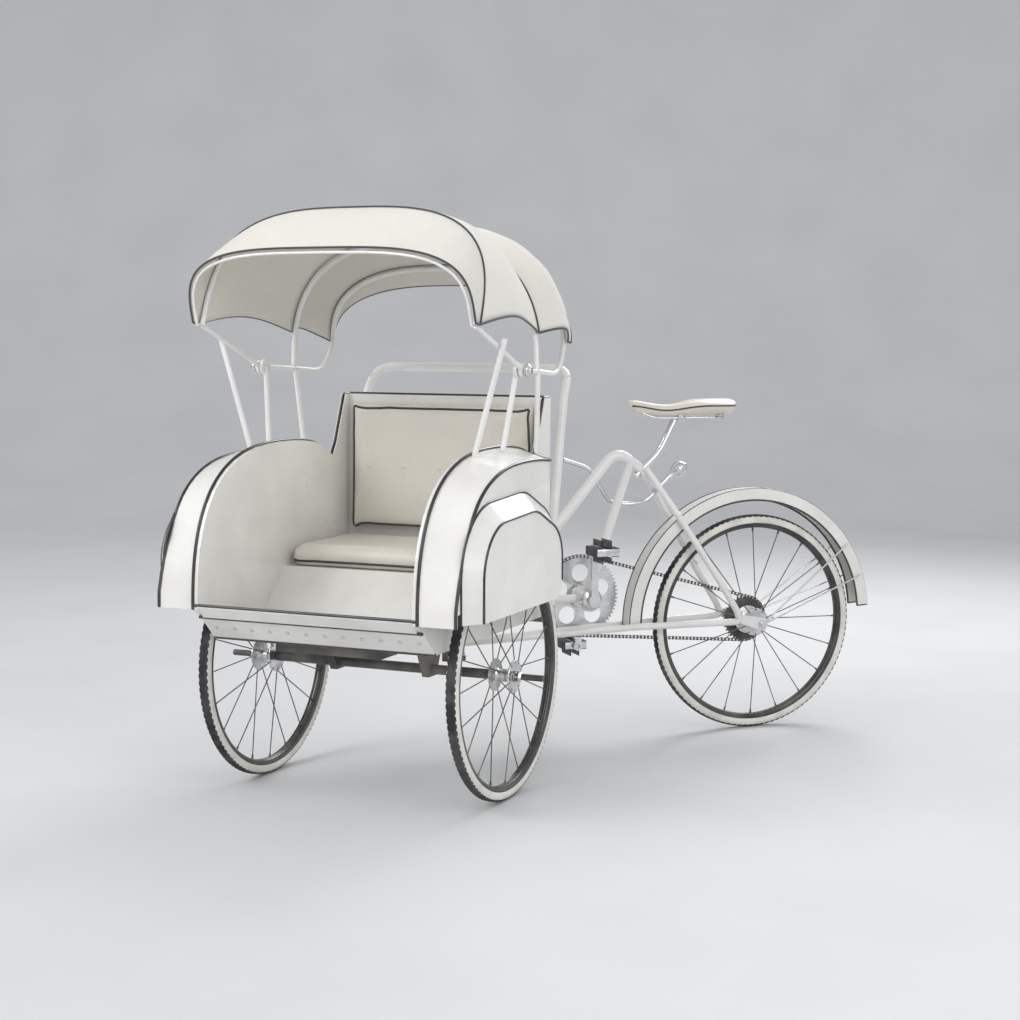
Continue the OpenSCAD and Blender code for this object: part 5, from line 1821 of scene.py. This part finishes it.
@dataclass
class BrakeLever:
    """The hand lever beside the frame and its pear-shaped grip."""

    end: Triple = (-0.008, 0.763, 0.512)
    root: Triple = (-0.008, 0.722, 0.4835)

    def build(self, shop: Workshop) -> None:
        """Makes the lever's smooth copy and its grip."""
        shop.smooth_copy("lever_arm", "brake_lever", Body.REAR_HALF, Slot.BRIGHT)
        a, b = np.array(self.root), np.array(self.end)
        axis = (b - a) / np.linalg.norm(b - a)
        path = [a + axis * d for d in (0.0, 0.006, 0.018, 0.030, 0.040, 0.052, 0.062, 0.070, 0.0745, 0.0765)]
        radii = [0.0095, 0.0105, 0.0120, 0.0165, 0.0222, 0.0256, 0.0244, 0.0185, 0.0110, 0.0030]
        steps = resampled(path, 0.0022)
        smooth = np.interp(np.linspace(0, 1, len(steps)), np.linspace(0, 1, len(radii)), radii)
        shell = Shell().tube([REAR(p) for p in steps], list(smooth), 28)
        shop.piece("lever_grip", shell, Body.REAR_HALF, Slot.BRIGHT)


# ------------------------------------------------------------------ studio


@dataclass
class Studio:
    """The floor, the soft lights and the camera."""

    place: Triple = (2.568, -4.785, 1.022)
    tilt: float = 90 - 6.015
    heading: float = 24.34
    lens: float = 66.95
    floor_z: float = -0.355
    reach: float = 30.0
    sweep_at: float = 6.5
    sweep_r: float = 5.0
    wall: float = 9.0
    lamps: tuple[tuple[str, Triple, Triple, float, float], ...] = (
        ("key", (-2.6, -3.4, 3.6), (0.1, 0.2, 0.3), 3.2, 125.0),
        ("fill", (3.8, -2.2, 2.2), (0.3, 0.4, 0.3), 3.0, 52.0),
        ("back", (0.6, 4.2, 3.2), (0.2, 0.2, 0.3), 2.6, 110.0),
    )

    def build(self) -> None:
        """Makes the floor, the lights, the sky and the camera."""
        self.floor()
        for lamp in self.lamps:
            self.light(*lamp)
        world = bpy.data.worlds.new("studio_sky")
        world.use_nodes = True
        sky = world.node_tree.nodes["Background"]
        sky.inputs["Color"].default_value = (0.96, 0.97, 1.0, 1.0)
        sky.inputs["Strength"].default_value = 0.72
        bpy.context.scene.world = world
        bpy.context.scene.view_settings.view_transform = "Standard"
        camera = bpy.data.cameras.new("camera")
        camera.lens, camera.sensor_width = self.lens, 36.0
        camera.clip_end = 100.0
        stand = bpy.data.objects.new("camera", camera)
        stand.location = self.place
        stand.rotation_euler = (radians(self.tilt), 0.0, radians(self.heading))
        bpy.context.scene.collection.objects.link(stand)
        bpy.context.scene.camera = stand

    def floor(self) -> None:
        """A pale sweep under and behind the vehicle."""
        turn = Matrix.Rotation(radians(self.heading), 3, "Z")
        angles = np.linspace(0, pi / 2, 24)
        bend = [(self.sweep_at + self.sweep_r * sin(a), self.sweep_r * (1 - cos(a))) for a in angles]
        line = [(-self.reach, 0.0)] + bend + [(self.sweep_at + self.sweep_r, self.sweep_r + self.wall)]
        across = (-self.reach, self.reach)
        points = [tuple(turn @ Vector((x, y, self.floor_z + z))) for y, z in line for x in across]
        mesh = bpy.data.meshes.new("floor")
        mesh.from_pydata(points, [], [(2 * i, 2 * i + 1, 2 * i + 3, 2 * i + 2) for i in range(len(line) - 1)])
        mesh.polygons.foreach_set("use_smooth", [True] * len(mesh.polygons))
        material = bpy.data.materials.new("studio_floor")
        material.use_nodes = True
        book = NodeBook(material.node_tree)
        surface = material.node_tree.nodes["Principled BSDF"]
        grain = book.ramp(book.noise(object_coords(book), 1.5, 4.0), 0.3, 0.8)
        shade = book.mix(grain, (0.66, 0.665, 0.67, 1.0), (0.62, 0.625, 0.63, 1.0))
        book.feed(surface.inputs["Base Color"], shade)
        surface.inputs["Roughness"].default_value = 0.7
        mesh.materials.append(material)
        item = bpy.data.objects.new("floor", mesh)
        bpy.context.scene.collection.objects.link(item)

    @staticmethod
    def light(name: str, place: Point, aim: Point, size: float, power: float) -> None:
        """A soft square light at a place, aimed at a point."""
        lamp = bpy.data.lights.new(name, "AREA")
        lamp.size, lamp.energy = size, power
        item = bpy.data.objects.new(name, lamp)
        item.location = place
        item.rotation_euler = (Vector(aim) - Vector(place)).to_track_quat("-Z", "Y").to_euler()
        bpy.context.scene.collection.objects.link(item)


# ------------------------------------------------------------------ making


def front_place(side: int) -> Place:
    """Where a front wheel stands; its axle already runs along X."""
    return lambda p: np.array([p[0] + side * HALF_TRACK, p[1], p[2]])


def rear_wheel_place(p: np.ndarray) -> np.ndarray:
    """Where the rear wheel stands, in the turned rear half."""
    return REAR((p[0], p[1] + REAR_BASE, p[2]))


def main() -> None:
    """Builds the whole vehicle in order."""
    logging.basicConfig(level=logging.INFO, format="%(name)s: %(message)s")
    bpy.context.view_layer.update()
    Studio().build()
    shop = Workshop(Finishes())
    parts = (
        Cabin(),
        Seat(),
        Hood(),
        Undercarriage(),
        Wheel("front_left", Body.LEFT_WHEEL, front_place(1)),
        Wheel("front_right", Body.RIGHT_WHEEL, front_place(-1)),
        Wheel("rear", Body.REAR_WHEEL, rear_wheel_place),
        RearFrame(),
        Drivetrain(),
        Saddle(),
        BrakeLever(),
    )
    for part in parts:
        LOG.info("building %s", type(part).__name__)
        part.build(shop)
    LOG.info("%d pieces made", shop.made)
    bpy.context.view_layer.update()


if __name__ == "__main__":
    main()
